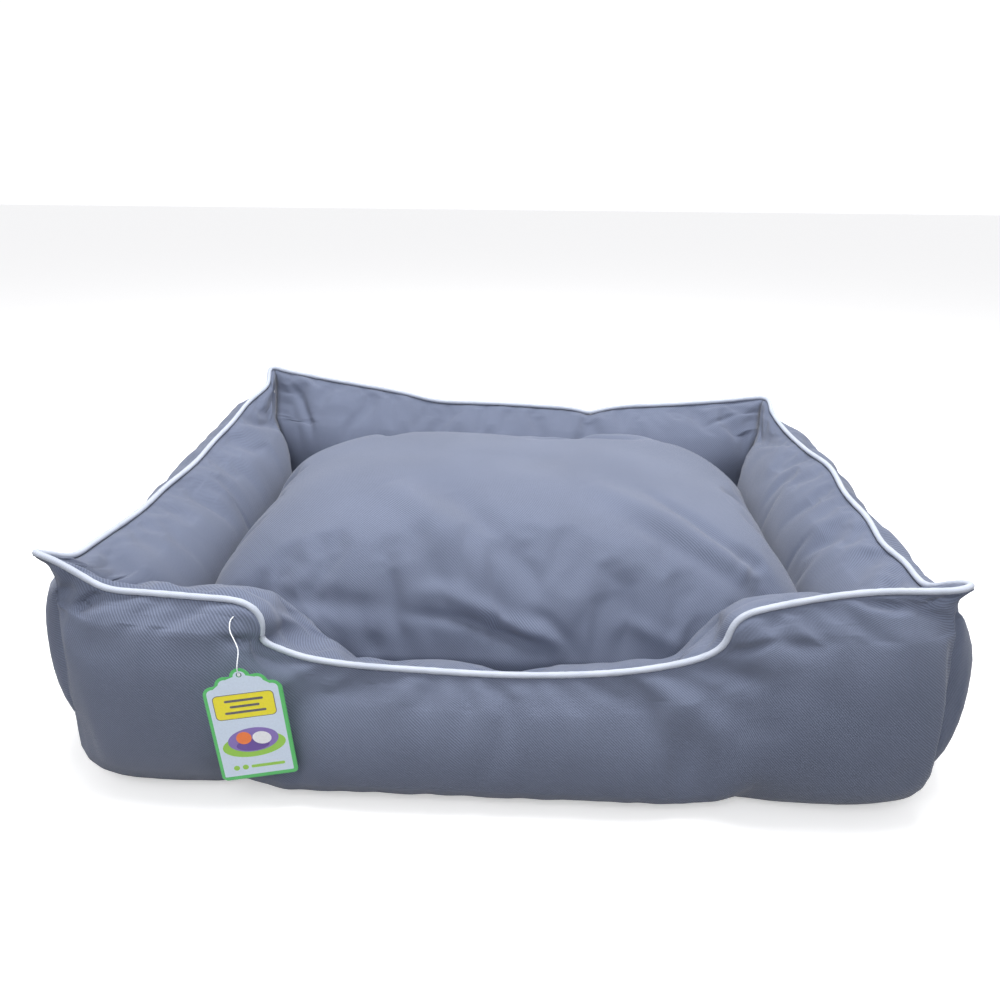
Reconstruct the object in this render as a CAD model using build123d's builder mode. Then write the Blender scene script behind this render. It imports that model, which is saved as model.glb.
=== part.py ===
"""Pet cushion bed: four stuffed walls on a padded floor, and a loose stuffed cushion in the nest.

+X is to the right of someone facing the entrance, +Y runs from the entrance to the back wall
and +Z is up. The origin is on the floor, under the middle of the bed.
"""
import os
from math import cos, radians, sin, tan

from build123d import *

# ---------------------------------------------------------------- driving dimensions, millimetres
# The piped seam that closes the tops of the walls runs round a rectangle.
seam_half_width = 368.0
seam_half_depth = 276.0

# Walls: how far each bolster swells out and in from its top seam, and where it meets the floor.
corner_bulge = 38.0
side_bulge = 44.0
end_bulge = 34.0
inner_bulge = 62.0
foot_setback = 25.0
widest_share = 0.66
flank_fullness = 7.0
# The two panels of a wall meet this far outside the very crest of its filling.
seam_setoff = 0.2

# Heights of the top seam above the floor.
front_height = 188.0
side_height = 198.0
back_height = 206.0
back_dip_height = 197.0
back_dip_x = 107.0
entrance_height = 121.0
entrance_foot_height = 144.0
entrance_half_width = 192.0
entrance_shoulder_run = 8.0
entrance_ramp_x = 125.0
entrance_ramp_height = 126.0

# The corners of the seam are drawn up into pointed ears.
ear_reach = 42.0
ear_rise = {"front_left": 38.0, "front_right": 32.0, "back_left": 44.0, "back_right": 26.0}
corner_overrun = 60.0

# Cloth, floor and piping
cloth = 1.2
base_thickness = 1.5
floor_padding_thickness = 10.0
floor_lining_thickness = 1.0
piping_radius = 2.8
piping_core_radius = 1.7
piping_lift = 2.2
piping_bend = 14.0
piping_join_gap = 0.3

# Cushion
cushion_side_gap = 3.0
cushion_front_gap = 3.0
cushion_back_gap = 8.5
cushion_floor_gap = 0.3
cushion_corner = 52.0
cushion_band_low = 66.0
cushion_band_high = 94.0
cushion_crown = 194.0

# Zip in the back edge of the cushion cover
zip_length = 420.0
zip_tape_width = 22.0
zip_tape_thickness = 0.8
zip_tooth_width = 4.0
zip_tooth_depth = 1.4
zip_tooth_length = 1.6
zip_tooth_pitch = 3.2
zip_clearance = 0.4
slider_length = 10.0
slider_height = 8.0
slider_depth = 3.2
post_radius = 1.0
post_head_radius = 1.9
post_length = 1.3
post_head = 0.5
pull_length = 24.0
pull_width = 7.0
pull_thickness = 0.8
pull_eye_radius = 1.3

# Swing tag and its nylon filament
tag_width = 60.0
tag_height = 104.0
tag_shoulder_drop = 30.0
tag_peak_width = 22.0
tag_thickness = 0.6
tag_tilt = 4.0
tag_turn = 10.0
tag_past_shoulder = 2.7
tag_clearance = 12.0
tag_drop = 90.6
tag_hole_y = 46.0
tag_hole_radius = 2.2
filament_exit_angle = 41.2
filament_standoff = 2.0
filament_exit_offset = 13.0
filament_radius = 0.45
knot_radius = 1.4
anchor_length = 10.0

# ---------------------------------------------------------------- values that follow from them
floor_top = base_thickness + floor_padding_thickness + floor_lining_thickness
nest_half_width = seam_half_width - inner_bulge
nest_half_depth = seam_half_depth - inner_bulge
shoulder_low = entrance_half_width - entrance_shoulder_run
shoulder_high = entrance_half_width + entrance_shoulder_run
corner_height = {
    "front_left": front_height,
    "front_right": front_height,
    "back_left": back_height,
    "back_right": back_height,
}


def corner_stations(half_length, corner, direction):
    """Stations (place, seam height, bulge, ear rise) at one end of a wall, from the end inwards."""
    height = corner_height[corner]
    rise = ear_rise[corner]
    return [
        (direction * (half_length + corner_overrun), height, corner_bulge, rise),
        (direction * half_length, height, corner_bulge, rise),
        (direction * (half_length - ear_reach), height, corner_bulge, 0.0),
        (direction * (half_length - inner_bulge - ear_reach / 2), height, corner_bulge, 0.0),
    ]


def wall_stations(half_length, first_corner, last_corner, between):
    """All the stations of a wall in order, from its negative end to its positive one."""
    first = corner_stations(half_length, first_corner, -1)
    last = corner_stations(half_length, last_corner, 1)
    return first + between + last[::-1]


front_between = [
    (-shoulder_high, front_height - 2, end_bulge, 0.0),
    (-shoulder_low, entrance_foot_height, end_bulge, 0.0),
    (-entrance_ramp_x, entrance_ramp_height, end_bulge, 0.0),
    (0.0, entrance_height, end_bulge, 0.0),
    (entrance_ramp_x, entrance_ramp_height + 2, end_bulge, 0.0),
    (shoulder_low, entrance_foot_height + 2, end_bulge, 0.0),
    (shoulder_high, front_height - 3, end_bulge, 0.0),
]
back_between = [
    (0.0, back_height - 3, corner_bulge + 2, 0.0),
    (back_dip_x, back_dip_height, corner_bulge, 0.0),
]
side_between = [(0.0, side_height, side_bulge, 0.0)]

# name: outward direction, direction of the stations, seam distance, half length, stations
walls = {
    "front": (
        Vector(0, -1, 0),
        Vector(1, 0, 0),
        seam_half_depth,
        seam_half_width,
        wall_stations(seam_half_width, "front_left", "front_right", front_between),
    ),
    "right": (
        Vector(1, 0, 0),
        Vector(0, 1, 0),
        seam_half_width,
        seam_half_depth,
        wall_stations(seam_half_depth, "front_right", "back_right", side_between),
    ),
    "back": (
        Vector(0, 1, 0),
        Vector(1, 0, 0),
        seam_half_depth,
        seam_half_width,
        wall_stations(seam_half_width, "back_left", "back_right", back_between),
    ),
    "left": (
        Vector(-1, 0, 0),
        Vector(0, 1, 0),
        seam_half_width,
        seam_half_depth,
        wall_stations(seam_half_depth, "front_left", "back_left", side_between),
    ),
}


# ---------------------------------------------------------------- walls
def crown_point(reach, height, degrees):
    """A point of the rounded top: 0 degrees is the seam and 90 the widest place."""
    widest = height * widest_share
    return (reach * sin(radians(degrees)), widest + (height - widest) * cos(radians(degrees)))


def wall_section(plane, height, bulge, rise, inset):
    """One cross-section of a wall, drawn on its plane: x is outward from the seam and y is up."""
    outward = bulge - inset
    inward = inset - inner_bulge
    top = height - inset
    crest = (0, top + rise)
    outer_neck = crown_point(outward, top, 22.5)
    outer_shoulder = crown_point(outward, top, 45)
    outer_side = crown_point(outward, top, 67.5)
    widest_out = crown_point(outward, top, 90)
    outer_foot = (-foot_setback - inset, base_thickness)
    flank_middle = (
        (widest_out[0] + outer_foot[0]) / 2 + flank_fullness,
        (widest_out[1] + outer_foot[1]) / 2,
    )
    inner_foot = (inward, base_thickness)
    widest_in = crown_point(inward, top, 90)
    inner_side = crown_point(inward, top, 67.5)
    inner_shoulder = crown_point(inward, top, 45)
    inner_neck = crown_point(inward, top, 22.5)
    with BuildSketch(plane) as section:
        with BuildLine():
            ThreePointArc(crest, outer_neck, outer_shoulder)
            ThreePointArc(outer_shoulder, outer_side, widest_out)
            ThreePointArc(widest_out, flank_middle, outer_foot)
            Line(outer_foot, inner_foot)
            Line(inner_foot, widest_in)
            ThreePointArc(widest_in, inner_side, inner_shoulder)
            ThreePointArc(inner_shoulder, inner_neck, crest)
        make_face()
    return section.sketch


def wall_solid(name, inset):
    """A whole wall as one solid, mitred at both corners; inset takes the cloth off its outside."""
    outward, along, seam_distance, half_length, stations = walls[name]
    sections = []
    for place, height, bulge, rise in stations:
        origin = outward * seam_distance + along * place
        plane = Plane(origin=origin, x_dir=outward, z_dir=outward.cross(Vector(0, 0, 1)))
        sections.append(wall_section(plane, height, bulge, rise, inset))
    with BuildPart() as wall:
        loft(sections, ruled=True)
        for end in (along, along * -1):
            corner = outward * seam_distance + end * half_length
            split(bisect_by=Plane(origin=corner, z_dir=outward - end), keep=Keep.TOP)
    return wall.part


def side_space(name, side):
    """The space on one side of a wall's middle, which runs from its seam down to mid-foot."""
    outward, along, seam_distance, half_length, stations = walls[name]
    middle_foot = -(foot_setback + inner_bulge) / 2
    above = 2 * back_height
    plane = Plane(
        origin=outward * seam_distance,
        x_dir=outward,
        z_dir=outward.cross(Vector(0, 0, 1)),
    )
    with BuildPart() as space:
        with BuildSketch(plane):
            with BuildLine():
                Polyline(
                    (seam_setoff, above),
                    (seam_setoff, entrance_height / 2),
                    (middle_foot, 0),
                    (side * above, 0),
                    (side * above, above),
                    close=True,
                )
            make_face()
        extrude(amount=half_length + corner_overrun, both=True)
    return space.part


def wall_cover(name, shell, side):
    """Half of a wall's cloth, from the floor to the piped seam: its outer or its inner panel."""
    with BuildPart() as panel:
        add(shell)
        add(side_space(name, side), mode=Mode.INTERSECT)
    return panel.part


def finish_part(part, label):
    """Name a finished piece and write it as its own STEP file."""
    part.label = label
    export_step(part, f"parts/{label}.step")


os.makedirs("parts", exist_ok=True)

for wall_name in walls:
    filling = wall_solid(wall_name, cloth)
    with BuildPart() as wall_shell:
        add(wall_solid(wall_name, 0.0))
        add(filling, mode=Mode.SUBTRACT)
    finish_part(filling, f"{wall_name}_filling")
    finish_part(wall_cover(wall_name, wall_shell.part, 1), f"{wall_name}_outer_panel")
    finish_part(wall_cover(wall_name, wall_shell.part, -1), f"{wall_name}_inner_panel")

# ---------------------------------------------------------------- floor of the bed
base_half_width = seam_half_width - foot_setback
base_half_depth = seam_half_depth - foot_setback

with BuildPart() as base_cloth:
    with BuildSketch():
        Rectangle(2 * base_half_width, 2 * base_half_depth)
    extrude(amount=base_thickness)
finish_part(base_cloth.part, "base_cloth")

with BuildPart() as floor_padding:
    with BuildSketch(Plane.XY.offset(base_thickness)):
        Rectangle(2 * nest_half_width, 2 * nest_half_depth)
    extrude(amount=floor_padding_thickness)
finish_part(floor_padding.part, "floor_padding")

with BuildPart() as floor_lining:
    with BuildSketch(Plane.XY.offset(base_thickness + floor_padding_thickness)):
        Rectangle(2 * nest_half_width, 2 * nest_half_depth)
    extrude(amount=floor_lining_thickness)
finish_part(floor_lining.part, "floor_lining")


# ---------------------------------------------------------------- piping round the top seam
def seam_points(name, reverse):
    """Points of the piped seam along one wall, between its two ears, and then the last ear."""
    outward, along, seam_distance, half_length, stations = walls[name]
    places = stations[2:-2]
    last_tip = stations[-2]
    if reverse:
        places = places[::-1]
        last_tip = stations[1]
    points = [
        outward * seam_distance + along * place + Vector(0, 0, height + rise + piping_lift)
        for place, height, bulge, rise in places + [last_tip]
    ]
    return points


seam_loop = (
    seam_points("left", True)
    + seam_points("front", False)
    + seam_points("right", False)
    + seam_points("back", True)
)
# The two ends of the piping meet on the back wall, at the middle of the longest run.
back_middle = Vector(0, seam_half_depth, back_height - 3 + piping_lift)
join_index = min(range(len(seam_loop)), key=lambda i: (seam_loop[i] - back_middle).length)
before_join = seam_loop[:join_index]
after_join = seam_loop[join_index + 1 :]
join_right = back_middle + Vector(piping_join_gap, 0, 0)
join_left = back_middle - Vector(piping_join_gap, 0, 0)
piping_route = [join_left] + after_join + before_join + [join_right]


def bend_radii(route, largest):
    """A radius for each bend: as large as its two runs allow, up to the largest one."""
    radii = []
    for before, corner, after in zip(route, route[1:], route[2:]):
        shorter = min((corner - before).length, (after - corner).length)
        turn = (corner - before).get_angle(after - corner)
        radii.append(min(largest, 0.45 * shorter / tan(radians(turn / 2))))
    return radii


piping_radii = bend_radii(piping_route, piping_bend)

with BuildPart() as piping_tape:
    with BuildLine() as piping_line:
        FilletPolyline(*piping_route, radius=piping_radii)
    with BuildSketch(Plane(origin=piping_line.line @ 0, z_dir=piping_line.line % 0)):
        Circle(piping_radius)
        Circle(piping_core_radius, mode=Mode.SUBTRACT)
    sweep()
finish_part(piping_tape.part, "piping_tape")

with BuildPart() as piping_cord:
    with BuildLine() as cord_line:
        FilletPolyline(*piping_route, radius=piping_radii)
    with BuildSketch(Plane(origin=cord_line.line @ 0, z_dir=cord_line.line % 0)):
        Circle(piping_core_radius)
    sweep()
finish_part(piping_cord.part, "piping_cord")

# ---------------------------------------------------------------- cushion
cushion_half_width = nest_half_width - cushion_side_gap
cushion_half_depth = nest_half_depth - (cushion_front_gap + cushion_back_gap) / 2
cushion_centre_y = (cushion_front_gap - cushion_back_gap) / 2
cushion_bottom = floor_top + cushion_floor_gap
cushion_swell = cushion_crown - cushion_band_high
# level above the floor, and the share of its half depth by which the outline draws in there
cushion_levels = [
    (cushion_bottom, 0.125),
    (cushion_bottom + 0.3 * (cushion_band_low - cushion_bottom), 0.034),
    (cushion_band_low, 0.0),
    (cushion_band_high, 0.0),
    (cushion_band_high + 0.34 * cushion_swell, 0.043),
    (cushion_band_high + 0.64 * cushion_swell, 0.173),
    (cushion_band_high + 0.86 * cushion_swell, 0.403),
    (cushion_crown, 0.72),
]
# A corner is never rounder than this share of the half depth it has at its level.
corner_share = 0.9


def cushion_solid(inset):
    """The cushion as one crowned solid; inset takes the cloth off its outside."""
    with BuildPart() as body:
        for index, (level, draw_share) in enumerate(cushion_levels):
            draw_in = draw_share * cushion_half_depth + inset
            lift = inset * (index == 0) - inset * (index == len(cushion_levels) - 1)
            plane = Plane(origin=(0, cushion_centre_y, level + lift))
            with BuildSketch(plane):
                RectangleRounded(
                    2 * (cushion_half_width - draw_in),
                    2 * (cushion_half_depth - draw_in),
                    min(cushion_corner - inset, corner_share * (cushion_half_depth - draw_in)),
                )
        loft(ruled=True)
    return body.part


cushion_seam_level = (cushion_band_low + cushion_band_high) / 2
cushion_filling = cushion_solid(cloth)
with BuildPart() as cushion_shell:
    add(cushion_solid(0.0))
    add(cushion_filling, mode=Mode.SUBTRACT)
with BuildPart() as cushion_top_cover:
    add(cushion_shell.part)
    split(bisect_by=Plane.XY.offset(cushion_seam_level), keep=Keep.TOP)
with BuildPart() as cushion_bottom_cover:
    add(cushion_shell.part)
    split(bisect_by=Plane.XY.offset(cushion_seam_level), keep=Keep.BOTTOM)
finish_part(cushion_filling, "cushion_filling")
finish_part(cushion_top_cover.part, "cushion_top_cover")
finish_part(cushion_bottom_cover.part, "cushion_bottom_cover")

# ---------------------------------------------------------------- zip in the cushion's back edge
cushion_back_y = cushion_centre_y + cushion_half_depth
zip_face_y = cushion_back_y + zip_tape_thickness
zip_plane = Plane(origin=(0, zip_face_y, cushion_seam_level), x_dir=(1, 0, 0), z_dir=(0, 1, 0))
slider_x = (zip_length - slider_length) / 2 - zip_clearance
slider_face_y = zip_face_y + zip_clearance + slider_depth

with BuildPart() as zip_tape:
    with BuildSketch(Plane(origin=zip_plane.origin, x_dir=(1, 0, 0), z_dir=(0, -1, 0))):
        Rectangle(zip_length + 20, zip_tape_width)
    extrude(amount=zip_tape_thickness)
finish_part(zip_tape.part, "zip_tape")

teeth_pairs = int(zip_length / zip_tooth_pitch) - 1
with BuildPart() as zip_teeth:
    for row in (-1, 1):
        row_plane = Plane(
            origin=(row * zip_tooth_pitch / 4, zip_face_y, cushion_seam_level + row * zip_tooth_width / 4),
            z_dir=(0, 1, 0),
            x_dir=(1, 0, 0),
        )
        with BuildSketch(row_plane):
            with GridLocations(zip_tooth_pitch, 1, teeth_pairs, 1):
                Rectangle(zip_tooth_length / 2, zip_tooth_width / 2)
    extrude(amount=zip_tooth_depth)
finish_part(zip_teeth.part, "zip_teeth")

with BuildPart() as zip_slider:
    with BuildSketch(Plane(origin=(slider_x, zip_face_y + zip_clearance, cushion_seam_level),
                           x_dir=(1, 0, 0), z_dir=(0, 1, 0))):
        RectangleRounded(slider_length, slider_height, 2.0)
    extrude(amount=slider_depth)
    with Locations(Location((slider_x, zip_face_y + zip_clearance, cushion_seam_level))):
        Box(
            slider_length + 1,
            2 * (zip_tooth_depth),
            zip_tooth_width + 2 * zip_clearance,
            mode=Mode.SUBTRACT,
        )
    with BuildSketch(Plane(origin=(slider_x, slider_face_y, cushion_seam_level), z_dir=(0, 1, 0))):
        Circle(post_radius)
    extrude(amount=post_length)
    with BuildSketch(
        Plane(origin=(slider_x, slider_face_y + post_length, cushion_seam_level), z_dir=(0, 1, 0))
    ):
        Circle(post_head_radius)
    extrude(amount=post_head)
finish_part(zip_slider.part, "zip_slider")

pull_y = slider_face_y + (post_length - pull_thickness) / 2
with BuildPart() as zip_pull:
    with BuildSketch(Plane(origin=(slider_x, pull_y, cushion_seam_level),
                           x_dir=(1, 0, 0), z_dir=(0, 1, 0))) as pull_outline:
        with Locations((0, pull_length / 2 - pull_width / 2)):
            RectangleRounded(pull_width, pull_length, pull_width / 2 - 0.1)
        Circle(pull_eye_radius, mode=Mode.SUBTRACT)
    extrude(amount=pull_thickness)
finish_part(zip_pull.part, "zip_pull")

# ---------------------------------------------------------------- swing tag on the front wall
# It hangs beside the entrance's left shoulder, clear of the wall, tilted and turned a little.
tilt = radians(tag_tilt)
turn = radians(tag_turn)
tag_plane = Plane(
    origin=(
        -entrance_half_width - tag_past_shoulder,
        -seam_half_depth - end_bulge - tag_clearance,
        front_height - tag_drop,
    ),
    x_dir=(cos(tilt) * cos(turn), cos(tilt) * sin(turn), sin(tilt)),
    z_dir=(sin(turn), -cos(turn), 0),
)
half_tag = tag_height / 2
with BuildPart() as swing_tag:
    with BuildSketch(tag_plane.offset(-tag_thickness / 2)) as tag_outline:
        with BuildLine():
            Polyline(
                (-tag_peak_width / 2, half_tag),
                (-tag_width / 2, half_tag - tag_shoulder_drop),
                (-tag_width / 2, -half_tag),
                (tag_width / 2, -half_tag),
                (tag_width / 2, half_tag - tag_shoulder_drop),
                (tag_peak_width / 2, half_tag),
                close=True,
            )
        make_face()
        fillet(tag_outline.vertices(), 6.0)
        with Locations((0, tag_hole_y)):
            Circle(tag_hole_radius, mode=Mode.SUBTRACT)
    extrude(amount=tag_thickness)
finish_part(swing_tag.part, "swing_tag")

# The filament comes out of the wall's cloth, hangs in front of the tag and is knotted in its hole.
tag_hole = tag_plane.from_local_coords(Vector(0, tag_hole_y, 0))
exit_out, exit_height = crown_point(end_bulge, front_height, filament_exit_angle)
filament_exit = Vector(
    tag_hole.X - filament_exit_offset,
    -seam_half_depth - exit_out - filament_standoff,
    exit_height,
)
filament_route = [
    filament_exit,
    filament_exit + Vector(2.4, -3.8, -1.8),
    filament_exit + Vector(5.6, -7.4, -4.2),
    filament_exit + Vector(9.0, -11.0, -7.4),
    filament_exit + Vector(12.3, -14.8, -11.9),
    tag_hole + Vector(0.3, -2.6, 9.4),
    tag_hole + Vector(0.0, -1.9, 3.6),
    tag_hole,
]
filament_radii = bend_radii(filament_route, 60.0)
with BuildPart() as tag_filament:
    with BuildLine() as filament_line:
        FilletPolyline(*filament_route, radius=filament_radii)
    with BuildSketch(Plane(origin=filament_line.line @ 0, z_dir=filament_line.line % 0)):
        Circle(filament_radius)
    sweep()
    with Locations(Location(tag_hole)):
        Sphere(knot_radius)
finish_part(tag_filament.part, "tag_filament")

# The filament's cross bar lies inside the wall, and its stem comes out through the cloth.
with BuildPart() as tag_anchor:
    stem_direction = (filament_route[1] - filament_route[0]).normalized()
    stem_start = filament_exit - stem_direction * (2 * filament_radius)
    with BuildSketch(Plane(origin=stem_start, z_dir=stem_direction * -1)):
        Circle(filament_radius)
    extrude(amount=anchor_length)
    bar_centre = stem_start - stem_direction * anchor_length
    with Locations(Location(bar_centre)):
        Cylinder(filament_radius, anchor_length, rotation=(0, 90, 0))
finish_part(tag_anchor.part, "tag_anchor")

piping_length = sum(edge.length for edge in piping_line.edges())
filament_length = sum(edge.length for edge in filament_line.edges())
print("piping length", round(piping_length, 1))
print("filament length", round(filament_length, 1))
print("filament radii", [round(radius, 1) for radius in filament_radii])
print("filament exit", filament_exit, "tag hole", tag_hole)
print("zip slider post", slider_x, slider_face_y, cushion_seam_level)
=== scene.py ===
import math

import bpy
import numpy as np
from mathutils import Euler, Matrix, Vector, kdtree, noise


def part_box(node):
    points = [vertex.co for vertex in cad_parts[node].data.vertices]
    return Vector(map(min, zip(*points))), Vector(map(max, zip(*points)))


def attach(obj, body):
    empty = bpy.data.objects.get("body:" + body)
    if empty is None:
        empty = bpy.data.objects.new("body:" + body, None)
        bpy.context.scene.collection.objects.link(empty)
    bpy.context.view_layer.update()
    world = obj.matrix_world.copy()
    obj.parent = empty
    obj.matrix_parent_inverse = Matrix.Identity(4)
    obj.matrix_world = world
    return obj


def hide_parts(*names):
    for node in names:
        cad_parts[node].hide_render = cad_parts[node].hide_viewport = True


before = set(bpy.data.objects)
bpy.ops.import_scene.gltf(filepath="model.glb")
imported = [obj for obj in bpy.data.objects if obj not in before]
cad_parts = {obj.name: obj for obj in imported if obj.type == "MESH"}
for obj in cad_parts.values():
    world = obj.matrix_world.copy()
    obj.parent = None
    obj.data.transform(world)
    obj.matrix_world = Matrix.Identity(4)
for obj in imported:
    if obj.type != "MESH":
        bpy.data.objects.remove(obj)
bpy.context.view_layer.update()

# ------------------------------------------------------------------ camera
# A person standing at the entrance looks down on the bed from just right of its middle.
bpy.ops.object.select_all(action="DESELECT")
bpy.ops.object.camera_add(
    location=(0.0241, -0.8384, 0.5001),
    rotation=Euler((1.19138, -0.00882, 0.04392), "XYZ"),
)
camera = bpy.context.object
camera.name = "camera"
camera.data.sensor_width = 36.0
camera.data.lens = 28.8
bpy.context.scene.camera = camera

# ------------------------------------------------------------------ nylon filament of the tag
# A clear nylon loop pin: its bar is inside the front wall and its filament comes out through the
# cloth, hangs over the wall's swell and is knotted in the tag's hole.
filament_exit = Vector((-0.21086, -0.300395, 0.172174))
tag_hole = Vector((-0.19786, -0.322557, 0.143288))
# Steps from the exit and then from the hole; the first lies under the cloth's surface.
filament_steps = [
    (-0.0010, 0.0090, 0.0014),
    (-0.0004, 0.0040, 0.0008),
    (0.0024, -0.0038, -0.0018),
    (0.0056, -0.0074, -0.0042),
    (0.0090, -0.0110, -0.0074),
    (0.0123, -0.0148, -0.0119),
]
hole_steps = [(0.0003, -0.0026, 0.0094), (0.0, -0.0019, 0.0036), (0.0, 0.0, 0.0)]
filament_points = [filament_exit + Vector(step) for step in filament_steps]
filament_points += [tag_hole + Vector(step) for step in hole_steps]
filament_radius = 0.00045


def set_sockets(node, **sockets):
    """Set a node's own sockets by name, with _ for a space."""
    for label, value in sockets.items():
        node.inputs[label.replace("_", " ")].default_value = value
    return node


def node_material(name, **sockets):
    """A new node material, its shader with those sockets set, and how to add and join its nodes."""
    material = bpy.data.materials.new(name)
    material.use_nodes = True
    tree = material.node_tree

    def add(kind, **inputs):
        return set_sockets(tree.nodes.new("ShaderNode" + kind), **inputs)

    def join(source, output, target, entry):
        tree.links.new(source.outputs[output], target.inputs[entry])

    return material, set_sockets(tree.nodes["Principled BSDF"], **sockets), add, join


def two_tones(node, dark, light, first=0.0, last=1.0):
    """Give a colour ramp two colours at two places."""
    for stop, colour, place in zip(node.color_ramp.elements, (dark, light), (first, last)):
        stop.position = place
        stop.color = (*colour, 1)


def clear_nylon(name):
    """Clear, slightly milky nylon with a wet-looking gloss."""
    material, shader, add, join = node_material(name, Roughness=0.28, IOR=1.53, Coat_Weight=0.3)
    coordinates = add("TexCoord")
    streaks = add("TexNoise", Scale=900.0)
    milk = add("ValToRGB")
    two_tones(milk, (0.70, 0.74, 0.80), (0.90, 0.92, 0.95))
    join(coordinates, "Object", streaks, "Vector")
    join(streaks, "Fac", milk, "Fac")
    join(milk, "Color", shader, "Base Color")
    return material


filament_curve = bpy.data.curves.new("tag_filament_cord", "CURVE")
filament_curve.dimensions = "3D"
filament_curve.bevel_depth = filament_radius
filament_curve.bevel_resolution = 3
filament_curve.use_fill_caps = True
filament_curve.resolution_u = 12
filament_spline = filament_curve.splines.new("NURBS")
filament_spline.points.add(len(filament_points) - 1)
for control, place in zip(filament_spline.points, filament_points):
    control.co = (*place, 1.0)
filament_spline.order_u = 3
filament_spline.use_endpoint_u = True
filament = bpy.data.objects.new("tag_filament_cord", filament_curve)
bpy.context.collection.objects.link(filament)
nylon = clear_nylon("clear_nylon")
filament.data.materials.append(nylon)

bpy.ops.mesh.primitive_uv_sphere_add(segments=20, ring_count=12, radius=0.0014, location=tag_hole)
knot = bpy.context.object
knot.name = "tag_filament_knot"
knot.scale = (1.0, 0.7, 1.15)
bpy.ops.object.transform_apply(location=True, rotation=True, scale=True)
bpy.ops.object.shade_smooth()
knot.data.materials.append(nylon)
for piece in (filament, knot):
    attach(piece, "tag_fastener")
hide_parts("tag_filament")

# The loop pin's cross bar lies in the fibre behind the cloth and keeps the filament from pulling out.
bar_length = 0.0100
bar_centre = filament_points[0] + Vector((0.0, 0.0090, -0.0010))
bpy.ops.object.select_all(action="DESELECT")
bpy.ops.mesh.primitive_cylinder_add(
    vertices=18,
    radius=1.3 * filament_radius,
    depth=bar_length,
    location=bar_centre,
    rotation=(0, math.pi / 2, 0),
)
anchor_bar = bpy.context.object
anchor_bar.name = "tag_anchor_bar"
bpy.ops.object.mode_set(mode="EDIT")
bpy.ops.mesh.select_all(action="SELECT")
bpy.ops.mesh.bevel(offset=0.0003, segments=2, affect="EDGES")
bpy.ops.object.mode_set(mode="OBJECT")
bpy.ops.object.transform_apply(location=True, rotation=True, scale=True)
stem_direction = filament_points[0] - bar_centre
bpy.ops.object.select_all(action="DESELECT")
bpy.ops.mesh.primitive_cone_add(
    vertices=14,
    radius1=1.1 * filament_radius,
    radius2=filament_radius,
    depth=stem_direction.length,
    location=bar_centre + stem_direction / 2,
    rotation=stem_direction.to_track_quat("Z", "Y").to_euler(),
)
bpy.ops.object.transform_apply(location=True, rotation=True, scale=True)
anchor_bar.select_set(True)
bpy.context.view_layer.objects.active = anchor_bar
bpy.ops.object.join()
bpy.ops.object.shade_smooth()
anchor_bar.data.materials.clear()
anchor_bar.data.materials.append(nylon)
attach(anchor_bar, "bed")
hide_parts("tag_anchor")

# ------------------------------------------------------------------ stuffed walls
# Four bolsters of cotton twill, each an outer and an inner panel sewn together in the piped seam
# along the top and to the floor of the bed below, mitred at the corners and stuffed with fibre.
seam_half_width = 0.368
seam_half_depth = 0.276
foot_setback = 0.025
inner_bulge = 0.062
base_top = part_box("base_cloth")[1][2]
widest_share = 0.66
cloth_thickness = 0.0012
column_step = 0.0058
outer_rows = 40
inner_rows = 34

# The seam itself lies this much below the middle of the piping.
seam_sink = 0.0024

# The piped seam of each wall as someone walks round the bed anticlockwise from the front left
# ear: distance along the wall, distance outward and height.
front_seam = [
    (-0.366, 0.006, 0.2240), (-0.352, 0.004, 0.2150), (-0.335, 0.001, 0.2010), (-0.318, 0.000, 0.1895),
    (-0.283, 0.000, 0.1870), (-0.242, 0.000, 0.1845), (-0.212, 0.000, 0.1825), (-0.198, 0.001, 0.1770),
    (-0.1910, 0.002, 0.1650), (-0.1925, 0.003, 0.1550), (-0.1960, 0.0035, 0.1490),
    (-0.1925, 0.003, 0.1452), (-0.183, 0.002, 0.1408), (-0.160, 0.001, 0.1310),
    (-0.120, 0.000, 0.1245), (-0.062, 0.000, 0.1215), (0.003, 0.000, 0.1195), (0.060, 0.000, 0.1215),
    (0.104, 0.000, 0.1260), (0.140, 0.001, 0.1340), (0.168, 0.002, 0.1440), (0.1835, 0.003, 0.1570),
    (0.186, 0.002, 0.1710), (0.194, 0.001, 0.1825), (0.216, 0.000, 0.1900), (0.260, 0.000, 0.2010),
    (0.300, 0.001, 0.2075), (0.340, 0.004, 0.2105), (0.364, 0.006, 0.2140),
]
right_seam = [
    (-0.272, 0.004, 0.2140), (-0.250, -0.001, 0.2030), (-0.228, -0.008, 0.1880), (-0.205, -0.007, 0.1835),
    (-0.170, -0.004, 0.1830), (-0.136, -0.010, 0.1850), (-0.085, -0.006, 0.1900), (-0.028, -0.008, 0.1935),
    (0.040, -0.003, 0.2000), (0.110, -0.007, 0.1970), (0.193, -0.008, 0.1960), (0.245, -0.013, 0.2060),
    (0.270, -0.011, 0.2140), (0.284, -0.011, 0.2190),
]
back_seam = [
    (-0.351, 0.008, 0.2190), (-0.325, 0.005, 0.2170), (-0.285, 0.002, 0.2130), (-0.220, 0.000, 0.2080),
    (-0.150, 0.000, 0.2030), (-0.118, 0.000, 0.1965), (-0.105, -0.001, 0.1930), (-0.090, 0.000, 0.1970),
    (-0.064, 0.000, 0.2000), (0.023, 0.000, 0.2040), (0.110, 0.000, 0.2060), (0.167, 0.001, 0.2180),
    (0.262, 0.003, 0.2330), (0.310, 0.005, 0.2410), (0.338, 0.008, 0.2460), (0.347, 0.010, 0.2500),
]
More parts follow.
